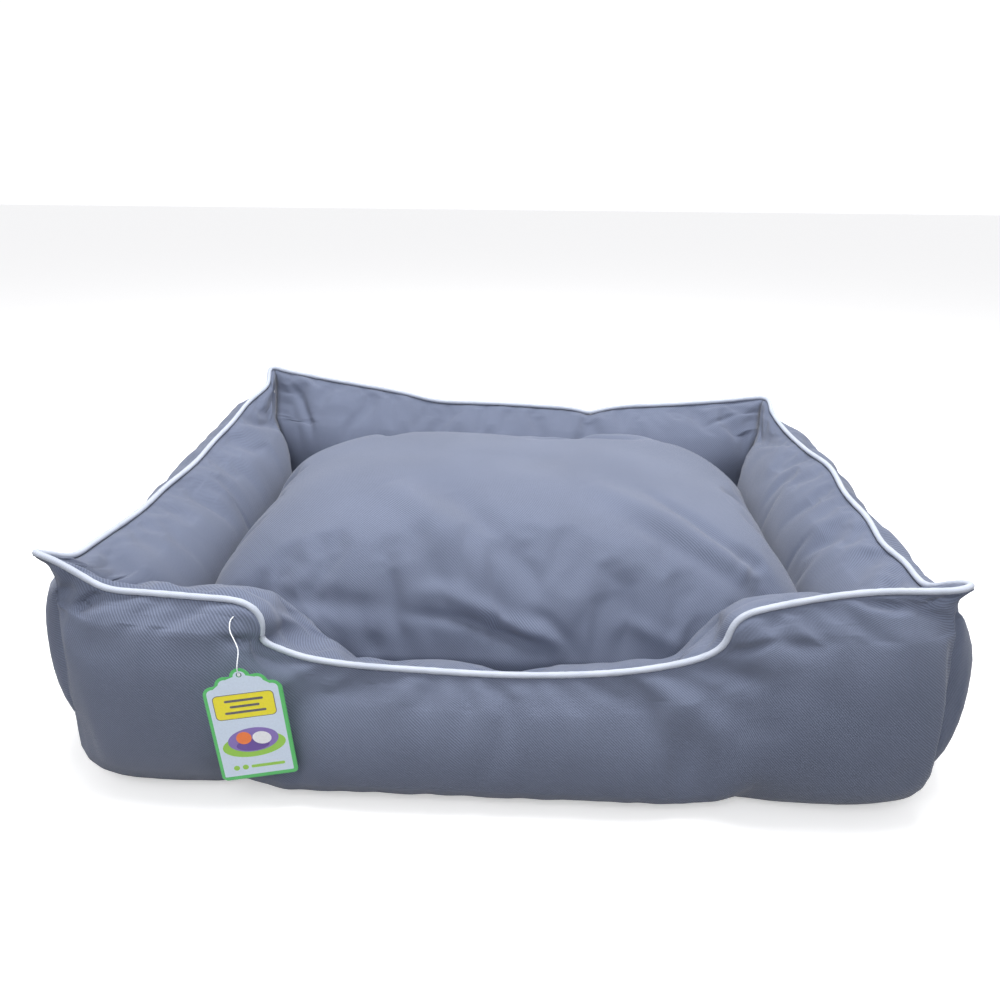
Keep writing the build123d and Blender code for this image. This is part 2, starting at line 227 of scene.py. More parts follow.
left_seam = [
    (-0.286, -0.014, 0.2500), (-0.272, -0.016, 0.2440), (-0.258, -0.018, 0.2300), (-0.230, -0.012, 0.2230),
    (-0.201, -0.006, 0.2170), (-0.140, -0.006, 0.2080), (-0.087, -0.002, 0.2000), (-0.020, -0.004, 0.1945),
    (0.050, -0.001, 0.1920), (0.116, -0.003, 0.1910), (0.194, 0.001, 0.1930), (0.235, -0.001, 0.1980),
    (0.262, 0.001, 0.2130), (0.281, 0.006, 0.2240),
]


def smooth_through(points, count):
    """Places evenly spread in arc length on a smooth curve through the points."""
    points = [np.array(p, dtype=float) for p in points]
    points = [2 * points[0] - points[1]] + points + [2 * points[-1] - points[-2]]
    fine = []
    for p0, p1, p2, p3 in zip(points, points[1:], points[2:], points[3:]):
        for step in range(12):
            t = step / 12
            fine.append(
                0.5
                * (
                    2 * p1
                    + (p2 - p0) * t
                    + (2 * p0 - 5 * p1 + 4 * p2 - p3) * t**2
                    + (3 * p1 - p0 - 3 * p2 + p3) * t**3
                )
            )
    fine.append(points[-2])
    fine = np.array(fine)
    lengths = np.concatenate([[0], np.cumsum(np.linalg.norm(np.diff(fine, axis=0), axis=1))])
    wanted = np.linspace(0, lengths[-1], count)
    return np.stack([np.interp(wanted, lengths, fine[:, k]) for k in range(3)], axis=1)


def ramp(value, low, high):
    """0 below low, 1 above high and a smooth step between."""
    t = np.clip((value - low) / (high - low), 0, 1)
    return t * t * (3 - 2 * t)


# wall name: direction along, direction outward, seam distance, half length, seam, swell, fullness
# low down, and how gradually the swell grows from each corner
wall_shapes = {
    "front": ((1, 0), (0, -1), seam_half_depth, seam_half_width, front_seam, 0.031, 0.36, 0.6),
    "right": ((0, 1), (1, 0), seam_half_width, seam_half_depth, right_seam, 0.038, 0.60, 0.85),
    "back": ((-1, 0), (0, 1), seam_half_depth, seam_half_width, back_seam, 0.034, 0.60, 0.8),
    "left": ((0, -1), (-1, 0), seam_half_width, seam_half_depth, left_seam, 0.038, 0.80, 1.05),
}
# The corners are gathered into the floor seam, so the walls swell only a little way from them.
corner_reach = -0.008
corner_run = 0.105
inner_corner_reach = 0.044
inner_corner_run = 0.060


def swelling(from_end, run, growth):
    """How much of its full swell a wall has at a distance from its mitre, as a stuffed end does."""
    share = np.clip(from_end / run, 0, 1)
    return (1 - (1 - share) ** 2.5) ** growth


def even_points(profile, rows):
    """The same profile as points evenly spaced along it."""
    profile = np.array(profile)
    lengths = np.concatenate([[0], np.cumsum(np.linalg.norm(np.diff(profile, axis=0), axis=1))])
    wanted = np.linspace(0, lengths[-1], rows + 1)
    return np.stack([np.interp(wanted, lengths, profile[:, k]) for k in range(profile.shape[1])], axis=1)


def side_profile(reach, foot, fullness, shoulder, widest, body_height, seam_height, rise):
    """One side of a wall from its foot to its seam: distance out, height and pull towards the seam.

    The shoulder is how square the wall is beside its seam, from 1, which is round, down to 0.5."""
    profile = []
    for angle in np.linspace(0, math.pi / 2, 60):
        out = foot + (reach - foot) * math.sin(angle) ** fullness
        height = widest - (widest - base_top) * math.cos(angle) ** fullness
        profile.append((out, height, 0.0))
    for angle in np.linspace(0, math.pi / 2, 80)[1:]:
        q = angle / (math.pi / 2)
        out = reach * max(math.cos(angle), 0.0) ** shoulder
        peak = body_height + (seam_height - body_height) * ramp(q, 0.62, 1.0)
        height = widest + (peak - widest) * math.sin(angle) ** shoulder + rise * math.sin(math.pi * q**2.2)
        profile.append((out, height, ramp(q, 0.45, 1.0)))
    return profile


def wall_grid(name):
    """Columns of points across one wall, from its first mitre to its last, outer foot first."""
    along, outward, distance, half, seam, bulge, fullness, growth = wall_shapes[name]
    along, outward = np.array(along, dtype=float), np.array(outward, dtype=float)
    count = int(2 * half / column_step)
    crest = smooth_through(seam, count + 1) - np.array([0.0, 0.0, seam_sink])
    columns = []
    for index in range(count + 1):
        fraction = index / count
        seam_along, seam_out, seam_height = crest[index]
        from_end = min(fraction, 1 - fraction) * 2 * half
        swell = corner_reach + (bulge - corner_reach) * swelling(from_end, corner_run, growth)
        inner_swell = inner_corner_reach + (inner_bulge - inner_corner_reach) * swelling(
            from_end, inner_corner_run, 0.6
        )
        # The body of the wall follows its seam only part of the way up into the ear.
        body_height = min(seam_height, 0.1885 + 0.30 * (seam_height - 0.1885))
        lowered = ramp(0.1885 - seam_height, 0.015, 0.060)
        widest = (widest_share - 0.20 * lowered) * min(body_height, 0.19)
        # The front wall is stuffed hardest beside the entrance and stands above its seam there.
        rise = 0.0
        if name == "front":
            rise = 0.009 * ramp(seam_along, -0.345, -0.31) * ramp(-seam_along, 0.19, 0.23)
            rise += 0.005 * ramp(seam_along, 0.19, 0.24) * ramp(-seam_along, -0.34, -0.30)
        # The side walls' outer panels stand above their seam towards the back.
        outer_rise = 0.0
        if name == "left":
            outer_rise = 0.013 * (1 - ramp(seam_along, -0.08, 0.14)) * ramp(seam_along, -0.26, -0.19)
        elif name == "right":
            outer_rise = 0.010 * ramp(seam_along, -0.04, 0.10) * ramp(-seam_along, -0.26, -0.19)
        if name == "front":
            shoulder = 0.92 + 0.25 * lowered
        else:
            shoulder = 0.92 - 0.30 * ramp(from_end, 0.02, 0.10)
        outer = even_points(
            side_profile(
                swell, -foot_setback, fullness, shoulder, widest, body_height, seam_height, outer_rise
            ),
            outer_rows,
        )
        inner = even_points(
            side_profile(-inner_swell, -inner_bulge, 0.7, 0.92, widest, body_height, seam_height, rise),
            inner_rows,
        )
        column = []
        for out, height, pull in np.concatenate([outer, inner[::-1][1:]]):
            regular = (2 * fraction - 1) * (half + out)
            place = regular + (seam_along + (2 * fraction - 1) * out - regular) * pull
            flat = outward * (distance + out + seam_out * pull) + along * place
            column.append((flat[0], flat[1], height))
        columns.append(column)
    return np.array(columns)


ring_columns = []
wall_spans = {}
start = 0
for wall in wall_shapes:
    grid = wall_grid(wall)
    wall_spans[wall] = (start, start + len(grid) - 1)
    if ring_columns:
        grid[0] = (grid[0] + ring_columns[-1]) / 2
        ring_columns[-1] = grid[0]
        grid = grid[1:]
    ring_columns.extend(grid)
    start = wall_spans[wall][1]
closing = (ring_columns[-1] + ring_columns[0]) / 2
ring_columns[0] = closing
ring_columns.pop()
ring = np.array(ring_columns)
column_count, row_count = ring.shape[:2]
corner_columns = [wall_spans[wall][0] for wall in wall_shapes]


def grid_faces(columns, rows, closed):
    """Quads of a grid whose points are numbered column by column."""
    last = columns if closed else columns - 1
    return [
        (
            i * rows + j,
            ((i + 1) % columns) * rows + j,
            ((i + 1) % columns) * rows + j + 1,
            i * rows + j + 1,
        )
        for i in range(last)
        for j in range(rows - 1)
    ]


def new_mesh_object(name, points, faces):
    """A mesh object from points and faces."""
    mesh = bpy.data.meshes.new(name)
    mesh.from_pydata([tuple(p) for p in points], [], faces)
    mesh.update()
    piece = bpy.data.objects.new(name, mesh)
    bpy.context.collection.objects.link(piece)
    return piece


def read_points(piece):
    """The piece's points as an array."""
    flat = np.empty(len(piece.data.vertices) * 3)
    piece.data.vertices.foreach_get("co", flat)
    return flat.reshape(-1, 3)


def write_points(piece, points):
    """Put the piece's points where the array says."""
    piece.data.vertices.foreach_set("co", np.asarray(points, dtype=float).ravel())
    piece.data.update()


def inflate(piece, pinned, pressure, slack, limit):
    """Swell a piece by cloth simulation: pinned points hold, slack lengthens the cloth."""
    before = read_points(piece)
    group = piece.vertex_groups.new(name="sewn")
    for index, weight in pinned.items():
        group.add([index], weight, "REPLACE")
    cloth = piece.modifiers.new("Cloth", "CLOTH")
    settings = cloth.settings
    settings.quality = 6
    settings.mass = 0.25
    settings.tension_stiffness = 18
    settings.compression_stiffness = 18
    settings.shear_stiffness = 6
    settings.bending_stiffness = 0.6
    settings.tension_damping = 12
    settings.compression_damping = 12
    settings.air_damping = 4
    settings.use_pressure = True
    settings.uniform_pressure_force = pressure
    settings.shrink_min = -slack
    settings.vertex_group_mass = "sewn"
    settings.effector_weights.gravity = 0
    cloth.point_cache.frame_start = 1
    cloth.point_cache.frame_end = 20
    scene = bpy.context.scene
    for number in range(1, 21):
        scene.frame_set(number)
    settled = piece.evaluated_get(bpy.context.evaluated_depsgraph_get())
    flat = np.empty(len(settled.data.vertices) * 3)
    settled.data.vertices.foreach_get("co", flat)
    piece.modifiers.remove(cloth)
    piece.vertex_groups.clear()
    scene.frame_set(1)
    moved = flat.reshape(-1, 3) - before
    size = np.linalg.norm(moved, axis=1)
    moved *= np.minimum(1, limit / np.maximum(size, 1e-9))[:, None]
    write_points(piece, before + moved)


def along_normals(points, faces):
    """Outward unit normals of a grid's points."""
    faces = np.array(faces)
    a, b, c, d = (points[faces[:, k]] for k in range(4))
    face_normals = np.cross(c - a, d - b)
    normals = np.zeros_like(points)
    for k in range(4):
        np.add.at(normals, faces[:, k], face_normals)
    return normals / np.maximum(np.linalg.norm(normals, axis=1), 1e-12)[:, None]


def distance_to_line(points, line):
    """Distance of each point from a polyline, and how far along it the nearest place is."""
    best = np.full(len(points), 1e9)
    where = np.zeros(len(points))
    total = sum(np.linalg.norm(np.subtract(b, a)) for a, b in zip(line, line[1:]))
    passed = 0.0
    for a, b in zip(line, line[1:]):
        a, b = np.array(a), np.array(b)
        span = np.linalg.norm(b - a)
        t = np.clip((points - a) @ (b - a) / span**2, 0, 1)
        gap = np.linalg.norm(points - (a + t[:, None] * (b - a)), axis=1)
        closer = gap < best
        best[closer] = gap[closer]
        where[closer] = (passed + t[closer] * span) / total
        passed += span
    return best, where


def press_folds(piece, folds):
    """Press creases (negative depth) and raise ridges along lines; a panel's sewn edges stay put."""
    points = read_points(piece)
    normals = np.empty(len(points) * 3)
    piece.data.vertices.foreach_get("normal", normals)
    normals = normals.reshape(-1, 3)
    uses = {}
    for polygon in piece.data.polygons:
        for key in polygon.edge_keys:
            uses[key] = uses.get(key, 0) + 1
    rim = {corner for key, count in uses.items() if count == 1 for corner in key}
    tree = kdtree.KDTree(len(rim))
    for corner in rim:
        tree.insert(points[corner], corner)
    tree.balance()
    lift = np.zeros(len(points))
    for line, depth, width in folds:
        line = np.array(line)
        low, high = line.min(axis=0) - 3 * width, line.max(axis=0) + 3 * width
        near = np.flatnonzero(((points > low) & (points < high)).all(axis=1))
        if not len(near):
            continue
        gap, where = distance_to_line(points[near], line)
        fade = np.sin(np.pi * np.clip(where, 0.015, 0.985)) ** 0.6
        lift[near] += depth * fade * np.exp(-((gap / width) ** 2))
    for index in np.flatnonzero(np.abs(lift) > 1e-5):
        lift[index] *= ramp(tree.find(points[index])[2], 0.0, 0.005)
    write_points(piece, points + normals * lift[:, None])


ring_faces = grid_faces(column_count, row_count, True)
ring_points = ring.reshape(-1, 3)
ring_normals = along_normals(ring_points, ring_faces)
# Start a little inside the finished shape and a little uneven, as fibre filling is.
row_numbers = np.arange(row_count)
from_crest = np.abs(row_numbers - outer_rows)
from_foot = np.minimum(row_numbers, row_count - 1 - row_numbers)
ease = np.tile(ramp(from_crest, 1, 9) * ramp(from_foot, 0, 7), column_count)
lumps = np.array([noise.noise(Vector(p) * 17.0) + 0.5 * noise.noise(Vector(p) * 41.0) for p in ring_points])
start_points = ring_points - ring_normals * (0.006 * ease - 0.0024 * lumps * ease)[:, None]
walls_body = new_mesh_object("walls_body", start_points, ring_faces)

pinned = {}
for i in range(column_count):
    pinned[i * row_count] = 1.0
    pinned[i * row_count + row_count - 1] = 1.0
    pinned[i * row_count + outer_rows] = 1.0
for i in corner_columns:
    for j in range(row_count):
        pinned[i * row_count + j] = 1.0
inflate(walls_body, pinned, pressure=4.0, slack=0.035, limit=0.010)

# Next to its seam the cloth stays below the piping, and it puckers where the seam gathers it.
ring_now = read_points(walls_body).reshape(column_count, row_count, 3)
crest_now = ring_now[:, outer_rows : outer_rows + 1]
gap = np.linalg.norm((ring_now - crest_now)[:, :, :2], axis=2)
stands = ring[:, :, 2] - ring[:, outer_rows, 2][:, None]
allowed = crest_now[:, :, 2] + np.maximum(stands, -1.0) * (stands > 0) - 0.10 * gap
ring_now[:, :, 2] = np.where(gap < 0.045, np.minimum(ring_now[:, :, 2], allowed), ring_now[:, :, 2])
ring_normals_now = along_normals(ring_now.reshape(-1, 3), ring_faces).reshape(column_count, row_count, 3)
around = np.concatenate([[0], np.cumsum(np.linalg.norm(np.diff(crest_now[:, 0], axis=0), axis=1))])


def gather(place, reach, inner):
    """How far the seam's gathers lift the cloth at a place round the bed and a distance from the seam."""
    return noise.noise(Vector((place * 62.0 + 14.0 * reach, 26.0 * reach + inner * 9.1, 4.7)))


gathers = np.array(
    [
        [gather(place, reach, row > outer_rows) for row, reach in enumerate(gaps)]
        for place, gaps in zip(around, gap)
    ]
)
pucker = 0.0021 * gathers * ramp(gap, 0.003, 0.012) * (1 - ramp(gap, 0.018, 0.045))
ring_now = ring_now + ring_normals_now * pucker[:, :, None]
ring_now[:, :, 2] = np.maximum(ring_now[:, :, 2], 0.0006)
ring_normals_now = along_normals(ring_now.reshape(-1, 3), ring_faces).reshape(column_count, row_count, 3)

# Folds of the walls: the line each follows, its depth (negative presses in) and its width.
wall_folds = [
    ([(-0.3426, -0.2852, 0.1744), (-0.3314, -0.2793, 0.1807), (-0.3194, -0.2774, 0.1883)], -0.006, 0.004),
    ([(-0.3573, -0.2771, 0.1860), (-0.3422, -0.2783, 0.1922)], -0.0024, 0.005),
    ([(-0.3607, -0.2789, 0.1767), (-0.3426, -0.2918, 0.1643)], -0.003, 0.004),
    ([(-0.3472, -0.2903, 0.1661), (-0.3310, -0.2966, 0.1555), (-0.3145, -0.3018, 0.1454)], -0.003, 0.005),
    ([(-0.3292, -0.2959, 0.1580), (-0.3086, -0.3014, 0.1501), (-0.2887, -0.3059, 0.1415)], -0.0024, 0.008),
    ([(-0.2182, -0.2945, 0.1564), (-0.2071, -0.2902, 0.1533), (-0.1964, -0.2837, 0.1506)], -0.006, 0.0035),
    ([(-0.2744, -0.3007, 0.1546), (-0.2563, -0.3019, 0.1547), (-0.2389, -0.3017, 0.1540),
      (-0.2231, -0.2982, 0.1512)], -0.003, 0.008),
    ([(-0.2919, -0.2985, 0.1628), (-0.2751, -0.2976, 0.1607), (-0.2566, -0.2996, 0.1605),
      (-0.2390, -0.3001, 0.1594), (-0.2230, -0.2971, 0.1560)], 0.0024, 0.008),
    ([(-0.1833, -0.3016, 0.1006), (-0.1709, -0.2949, 0.1090), (-0.1588, -0.2869, 0.1166)], -0.0018, 0.006),
    ([(0.3278, -0.2850, 0.1925), (0.3352, -0.2828, 0.2020), (0.3546, -0.2797, 0.2096)], -0.006, 0.004),
    ([(0.2832, -0.2830, 0.2004), (0.3032, -0.2832, 0.1986), (0.3246, -0.2839, 0.1961)], -0.0036, 0.0035),
    ([(0.1845, -0.2818, 0.1511), (0.1977, -0.2891, 0.1580), (0.2090, -0.2928, 0.1653),
      (0.2170, -0.2928, 0.1692)], -0.0048, 0.0035),
    ([(0.2116, -0.2899, 0.1753), (0.2223, -0.2817, 0.1861)], -0.003, 0.005),
    ([(0.2169, -0.2920, 0.1714), (0.2351, -0.2946, 0.1674), (0.2497, -0.2986, 0.1686),
      (0.2630, -0.2986, 0.1709)], -0.0042, 0.006),
    ([(0.1639, -0.2812, 0.1358), (0.1840, -0.2857, 0.1338), (0.1990, -0.2934, 0.1354),
      (0.2131, -0.3025, 0.1380), (0.2366, -0.3057, 0.1347), (0.2563, -0.3077, 0.1314),
      (0.2728, -0.3088, 0.1310)], -0.0048, 0.007),
    ([(0.1635, -0.2947, 0.1146), (0.1841, -0.2985, 0.1076), (0.1989, -0.3017, 0.1067),
      (0.2124, -0.3082, 0.1083), (0.2253, -0.3099, 0.1101), (0.2384, -0.3108, 0.1114)], -0.0042, 0.008),
    ([(0.1556, -0.3009, 0.0778), (0.1782, -0.3026, 0.0742)], -0.0024, 0.008),
    ([(0.3235, -0.3047, 0.0433), (0.3339, -0.3045, 0.0523), (0.3452, -0.3026, 0.0597)], -0.0024, 0.006),
    ([(0.3001, -0.0837, 0.1186), (0.3103, -0.0965, 0.1471)], -0.0048, 0.005),
    ([(0.3012, -0.0614, 0.1274), (0.3003, -0.0896, 0.1194)], -0.0036, 0.005),
    ([(0.3043, 0.1456, 0.1396), (0.3157, 0.1036, 0.1641), (0.3330, 0.0862, 0.1792)], -0.0024, 0.008),
    ([(0.3106, -0.0754, 0.1483), (0.3238, -0.0848, 0.1614), (0.3346, -0.0988, 0.1761),
      (0.3516, -0.0968, 0.1837)], -0.0024, 0.008),
    ([(-0.3574, -0.1336, 0.1874), (-0.3322, -0.1361, 0.1753)], -0.0024, 0.008),
    ([(-0.3581, 0.0837, 0.1958), (-0.3345, 0.0904, 0.1825)], -0.0024, 0.008),
    ([(-0.3431, -0.0100, 0.1814), (-0.3177, -0.0050, 0.1606)], -0.0024, 0.008),
    ([(0.2476, 0.2688, 0.2065), (0.2771, 0.2693, 0.2109), (0.3079, 0.2756, 0.2137),
      (0.3384, 0.2800, 0.2170)], -0.0036, 0.004),
    ([(0.2626, 0.2418, 0.1870), (0.2879, 0.2514, 0.1941), (0.3131, 0.2599, 0.2016)], -0.0036, 0.004),
    ([(-0.3222, 0.2680, 0.2316), (-0.3066, 0.2601, 0.2120), (-0.2924, 0.2385, 0.1905),
      (-0.2798, 0.2215, 0.1681)], -0.006, 0.006),
]


def twill(name, light, dark, wale=0.0018, sheen=0.2):
    """Cotton twill: slanting ribs over fine threads, faded and rubbed a little here and there."""
    material, shader, add, join = node_material(
        name, Roughness=0.88, Specular_IOR_Level=0.22, Sheen_Weight=sheen, Sheen_Roughness=0.45
    )
    weave_map = add("UVMap")
    weave_map.uv_map = "weave"
    wobble = add("TexNoise", Scale=60.0, Detail=2.0)
    shift = add("VectorMath")
    shift.operation = "MULTIPLY_ADD"
    shift.inputs[1].default_value = (0.0009, 0.0009, 0.0)
    wales = add("TexWave", Scale=0.444 / wale, Distortion=0.6, Detail=1.0, Detail_Scale=3.0)
    wales.wave_type = "BANDS"
    wales.bands_direction = "DIAGONAL"
    threads = add("TexNoise", Scale=1700.0, Detail=2.0)
    fade = add("TexNoise", Scale=9.0, Detail=5.0)
    join(weave_map, "UV", wobble, "Vector")
    join(wobble, "Color", shift, 0)
    join(weave_map, "UV", shift, 2)
    join(shift, "Vector", wales, "Vector")
    join(weave_map, "UV", threads, "Vector")
    join(weave_map, "UV", fade, "Vector")
    rib = add("Mix")
    rib.data_type = "RGBA"
    set_sockets(rib, A=(*dark, 1), B=(*light, 1))
    rib_amount = add("MapRange", To_Min=0.25, To_Max=0.85)
    join(wales, "Fac", rib_amount, "Value")
    join(rib_amount, "Result", rib, "Factor")
    speckle = add("MapRange", From_Min=0.3, From_Max=0.7, To_Min=0.86, To_Max=1.14)
    faded = add("MapRange", From_Min=0.3, From_Max=0.7, To_Min=0.93, To_Max=1.07)
    join(threads, "Fac", speckle, "Value")
    join(fade, "Fac", faded, "Value")
    shade = add("Math")
    shade.operation = "MULTIPLY"
    join(speckle, "Result", shade, 0)
    join(faded, "Result", shade, 1)
    colour = add("VectorMath")
    colour.operation = "SCALE"
    join(rib, "Result", colour, 0)
    join(shade, "Value", colour, "Scale")
    join(colour, "Vector", shader, "Base Color")
    height = add("Math")
    height.operation = "MULTIPLY_ADD"
    height.inputs[1].default_value = 0.45
    join(threads, "Fac", height, 0)
    join(wales, "Fac", height, 2)
    bump = add("Bump", Strength=0.55, Distance=0.0005)
    join(height, "Value", bump, "Height")
    join(bump, "Normal", shader, "Normal")
    return material


slate_light = (0.172, 0.200, 0.284)
slate_dark = (0.092, 0.108, 0.158)
wall_twill = twill("slate_twill_walls", slate_light, slate_dark)


def pick_only(piece):
    """Select one piece and make it the active one."""
    bpy.ops.object.select_all(action="DESELECT")
    bpy.context.view_layer.objects.active = piece
    piece.select_set(True)


def cloth_panel(name, points, rows, closed, material, folds=()):
    """A sewn panel as a thin closed sheet with a weave map in metres, from a grid of points."""
    columns = len(points) // rows
    piece = new_mesh_object(name, points, grid_faces(columns, rows, closed))
    grid = np.array(points).reshape(columns, rows, 3)
    up = np.concatenate(
        [np.zeros((columns, 1)), np.cumsum(np.linalg.norm(np.diff(grid, axis=1), axis=2), axis=1)], axis=1
    )
    middle = grid[:, rows // 2]
    across = np.concatenate([[0], np.cumsum(np.linalg.norm(np.diff(middle, axis=0), axis=1))])
    layer = piece.data.uv_layers.new(name="weave")
    for loop in piece.data.loops:
        i, j = divmod(loop.vertex_index, rows)
        layer.data[loop.index].uv = (across[i], up[i, j])
    piece.data.materials.append(material)
    subdivide = piece.modifiers.new("Subdivision", "SUBSURF")
    subdivide.levels = 1
    subdivide.render_levels = 1
    pick_only(piece)
    bpy.ops.object.modifier_apply(modifier="Subdivision")
    if folds:
        press_folds(piece, folds)
    thickness = piece.modifiers.new("Solidify", "SOLIDIFY")
    thickness.thickness = cloth_thickness
    thickness.offset = -1
    bpy.ops.object.modifier_apply(modifier="Solidify")
    bpy.ops.object.shade_smooth()
    return piece


def fibre(name, tint):
    """Loose polyester fibre: white, soft and tangled."""
    material, shader, add, join = node_material(name, Roughness=0.95, Sheen_Weight=0.4)
    coordinates = add("TexCoord")
    tangle = add("TexNoise", Scale=220.0, Detail=6.0, Distortion=1.5)
    tone = add("ValToRGB")
    two_tones(tone, [0.8 * part for part in tint], tint)
    bump = add("Bump", Strength=0.7, Distance=0.002)
    join(coordinates, "Object", tangle, "Vector")
    join(tangle, "Fac", tone, "Fac")
    join(tone, "Color", shader, "Base Color")
    join(tangle, "Fac", bump, "Height")
    join(bump, "Normal", shader, "Normal")
    return material


# The filling stops this many columns short of each mitre, lies this far inside the cloth and is
# drawn in further beside the mitres.
polyester = fibre("polyester_fibre", (0.86, 0.86, 0.84))
end_gap = 2
wall_stuffing_inset = 5.5 * cloth_thickness
mitre_share, full_share, mitre_run = 0.78, 0.99, 0.07
for wall, (first, last) in wall_spans.items():
    picked = [i % column_count for i in range(first, last + 1)]
    whole = ring_now[picked]
    whole_normals = ring_normals_now[picked]
    outer_half, inner_half = whole[:, : outer_rows + 1], whole[:, outer_rows:]
    outer = cloth_panel(
        f"{wall}_outer_cover", outer_half.reshape(-1, 3), outer_rows + 1, False, wall_twill, wall_folds
    )
    inner = cloth_panel(
        f"{wall}_inner_cover", inner_half.reshape(-1, 3), inner_rows + 1, False, wall_twill, wall_folds
    )
    for panel, node in ((outer, f"{wall}_outer_panel"), (inner, f"{wall}_inner_panel")):
        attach(panel, "bed")
        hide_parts(node)
    # The filling is the same shape just inside the cloth, closed across its foot and its mitres.
    stuffing = (whole - whole_normals * wall_stuffing_inset)[end_gap:-end_gap]
    numbers = np.arange(len(stuffing))
    from_mitre = np.minimum(numbers, numbers[::-1]) * column_step
    heart = stuffing.mean(axis=1, keepdims=True)
    share = mitre_share + (full_share - mitre_share) * ramp(from_mitre, 0.0, mitre_run)
    stuffing = heart + (stuffing - heart) * share[:, None, None]
    for _ in range(6):
        stuffing[1:-1] = 0.5 * stuffing[1:-1] + 0.25 * (stuffing[2:] + stuffing[:-2])
        stuffing[:, 1:-1] = 0.5 * stuffing[:, 1:-1] + 0.25 * (stuffing[:, 2:] + stuffing[:, :-2])
    stuffing[:, :, 2] = np.maximum(stuffing[:, :, 2], base_top)
    stuffing[:, 0, 2] = base_top
    stuffing[:, -1, 2] = base_top
    columns = len(stuffing)
    faces = grid_faces(columns, row_count, False)
    faces += [
        (i * row_count, (i + 1) * row_count - 1, (i + 2) * row_count - 1, (i + 1) * row_count)
        for i in range(columns - 1)
    ]
    faces.append(tuple(range(row_count)))
    faces.append(tuple((columns - 1) * row_count + j for j in range(row_count))[::-1])
    filling = new_mesh_object(f"{wall}_fibre", stuffing.reshape(-1, 3), faces)
    filling.data.materials.append(polyester)
    pick_only(filling)
    bpy.ops.object.mode_set(mode="EDIT")
    bpy.ops.mesh.select_all(action="SELECT")
    bpy.ops.mesh.normals_make_consistent(inside=False)
    bpy.ops.object.mode_set(mode="OBJECT")
    bpy.ops.object.shade_smooth()
    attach(filling, "bed")
    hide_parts(f"{wall}_filling")
bpy.data.objects.remove(walls_body)

# ------------------------------------------------------------------ piping
# A cotton cord wrapped in white bias tape, whose flange is sewn into the seam between the outer
# and inner panels all the way round, up into each ear and back; its ends meet in the back wall.
piping_radius = 0.0027
cord_radius = 0.0016


def tube(name, route, radius, sides, closed, unevenness=0.0):
    """A smooth tube along a route of points, with a weave map round and along it."""
    count = len(route)
    ahead = np.roll(route, -1, axis=0) - np.roll(route, 1, axis=0)
    ahead /= np.linalg.norm(ahead, axis=1)[:, None]
    points, maps = [], []
    travelled = 0.0
    for i in range(count):
        if i:
            travelled += np.linalg.norm(route[i] - route[i - 1])
        side = np.cross(ahead[i], (0, 0, 1))
        if np.linalg.norm(side) < 1e-3:
            side = np.array((1.0, 0, 0))
        side /= np.linalg.norm(side)
        top = np.cross(side, ahead[i])
        swell = 1 + unevenness * noise.noise(Vector(route[i]) * 260.0)
        for k in range(sides):
            angle = 2 * math.pi * k / sides
            points.append(route[i] + radius * swell * (side * math.cos(angle) + top * math.sin(angle)))
            maps.append((travelled, radius * angle))
    faces = []
    for i in range(count if closed else count - 1):
        for k in range(sides):
            a, b = i * sides + k, i * sides + (k + 1) % sides
            c, d = ((i + 1) % count) * sides + (k + 1) % sides, ((i + 1) % count) * sides + k
            faces.append((a, d, c, b))
    piece = new_mesh_object(name, points, faces)
    layer = piece.data.uv_layers.new(name="weave")
    for loop in piece.data.loops:
        layer.data[loop.index].uv = maps[loop.vertex_index]
    for polygon in piece.data.polygons:
        polygon.use_smooth = True
    return piece


def tape_cotton(name, light, dark):
    """White bias tape: fine plain weave running slantwise, matt, a little grubby in soft patches along it
    and darker in the weave's hollows.
    """
    material, shader, add, join = node_material(name, Roughness=0.82, Sheen_Weight=0.2)
    weave_map = add("UVMap")
    weave_map.uv_map = "weave"
    weave = add("TexWave", Scale=420.0, Distortion=1.2)
    weave.wave_type = "BANDS"
    weave.bands_direction = "DIAGONAL"
    soil = add("TexNoise", Scale=35.0, Detail=4.0)
    tone = add("ValToRGB")
    two_tones(tone, dark, light, 0.25, 0.75)
    blend = add("Math")
    blend.operation = "MULTIPLY_ADD"
    blend.inputs[1].default_value = 0.3
    bump = add("Bump", Strength=0.35, Distance=0.0003)
    join(weave_map, "UV", weave, "Vector")
    join(weave_map, "UV", soil, "Vector")
    join(weave, "Fac", blend, 0)
    join(soil, "Fac", blend, 2)
    join(blend, "Value", tone, "Fac")
    join(tone, "Color", shader, "Base Color")
    join(weave, "Fac", bump, "Height")
    join(bump, "Normal", shader, "Normal")
    return material


def eased(route):
    """A closed route with each place drawn towards its neighbours."""
    return 0.25 * np.roll(route, 1, axis=0) + 0.5 * route + 0.25 * np.roll(route, -1, axis=0)


crest_line = ring_now[:, outer_rows]
crest_lift = 0.95 * piping_radius
piping_route = eased(eased(crest_line + np.array((0, 0, crest_lift))))
dense = []
for i in range(len(piping_route)):
    here, there = piping_route[i], piping_route[(i + 1) % len(piping_route)]
    dense += [here, (here + there) / 2]
piping_route = eased(np.array(dense))
piping = tube("piping_bias_tape", piping_route, piping_radius, 14, True, 0.10)
piping.data.materials.append(tape_cotton("white_bias_tape", (0.50, 0.54, 0.63), (0.36, 0.40, 0.48)))
piping_core = tube("piping_inner_cord", piping_route, cord_radius, 8, True, 0.05)
piping_core.data.materials.append(tape_cotton("undyed_cord", (0.80, 0.78, 0.70), (0.55, 0.52, 0.45)))
for piece, node, slot_name in (
    (piping, "piping_tape", "piping_cotton"),
    (piping_core, "piping_cord", "cord_cotton"),
):
    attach(piece, "bed")
    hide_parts(node)

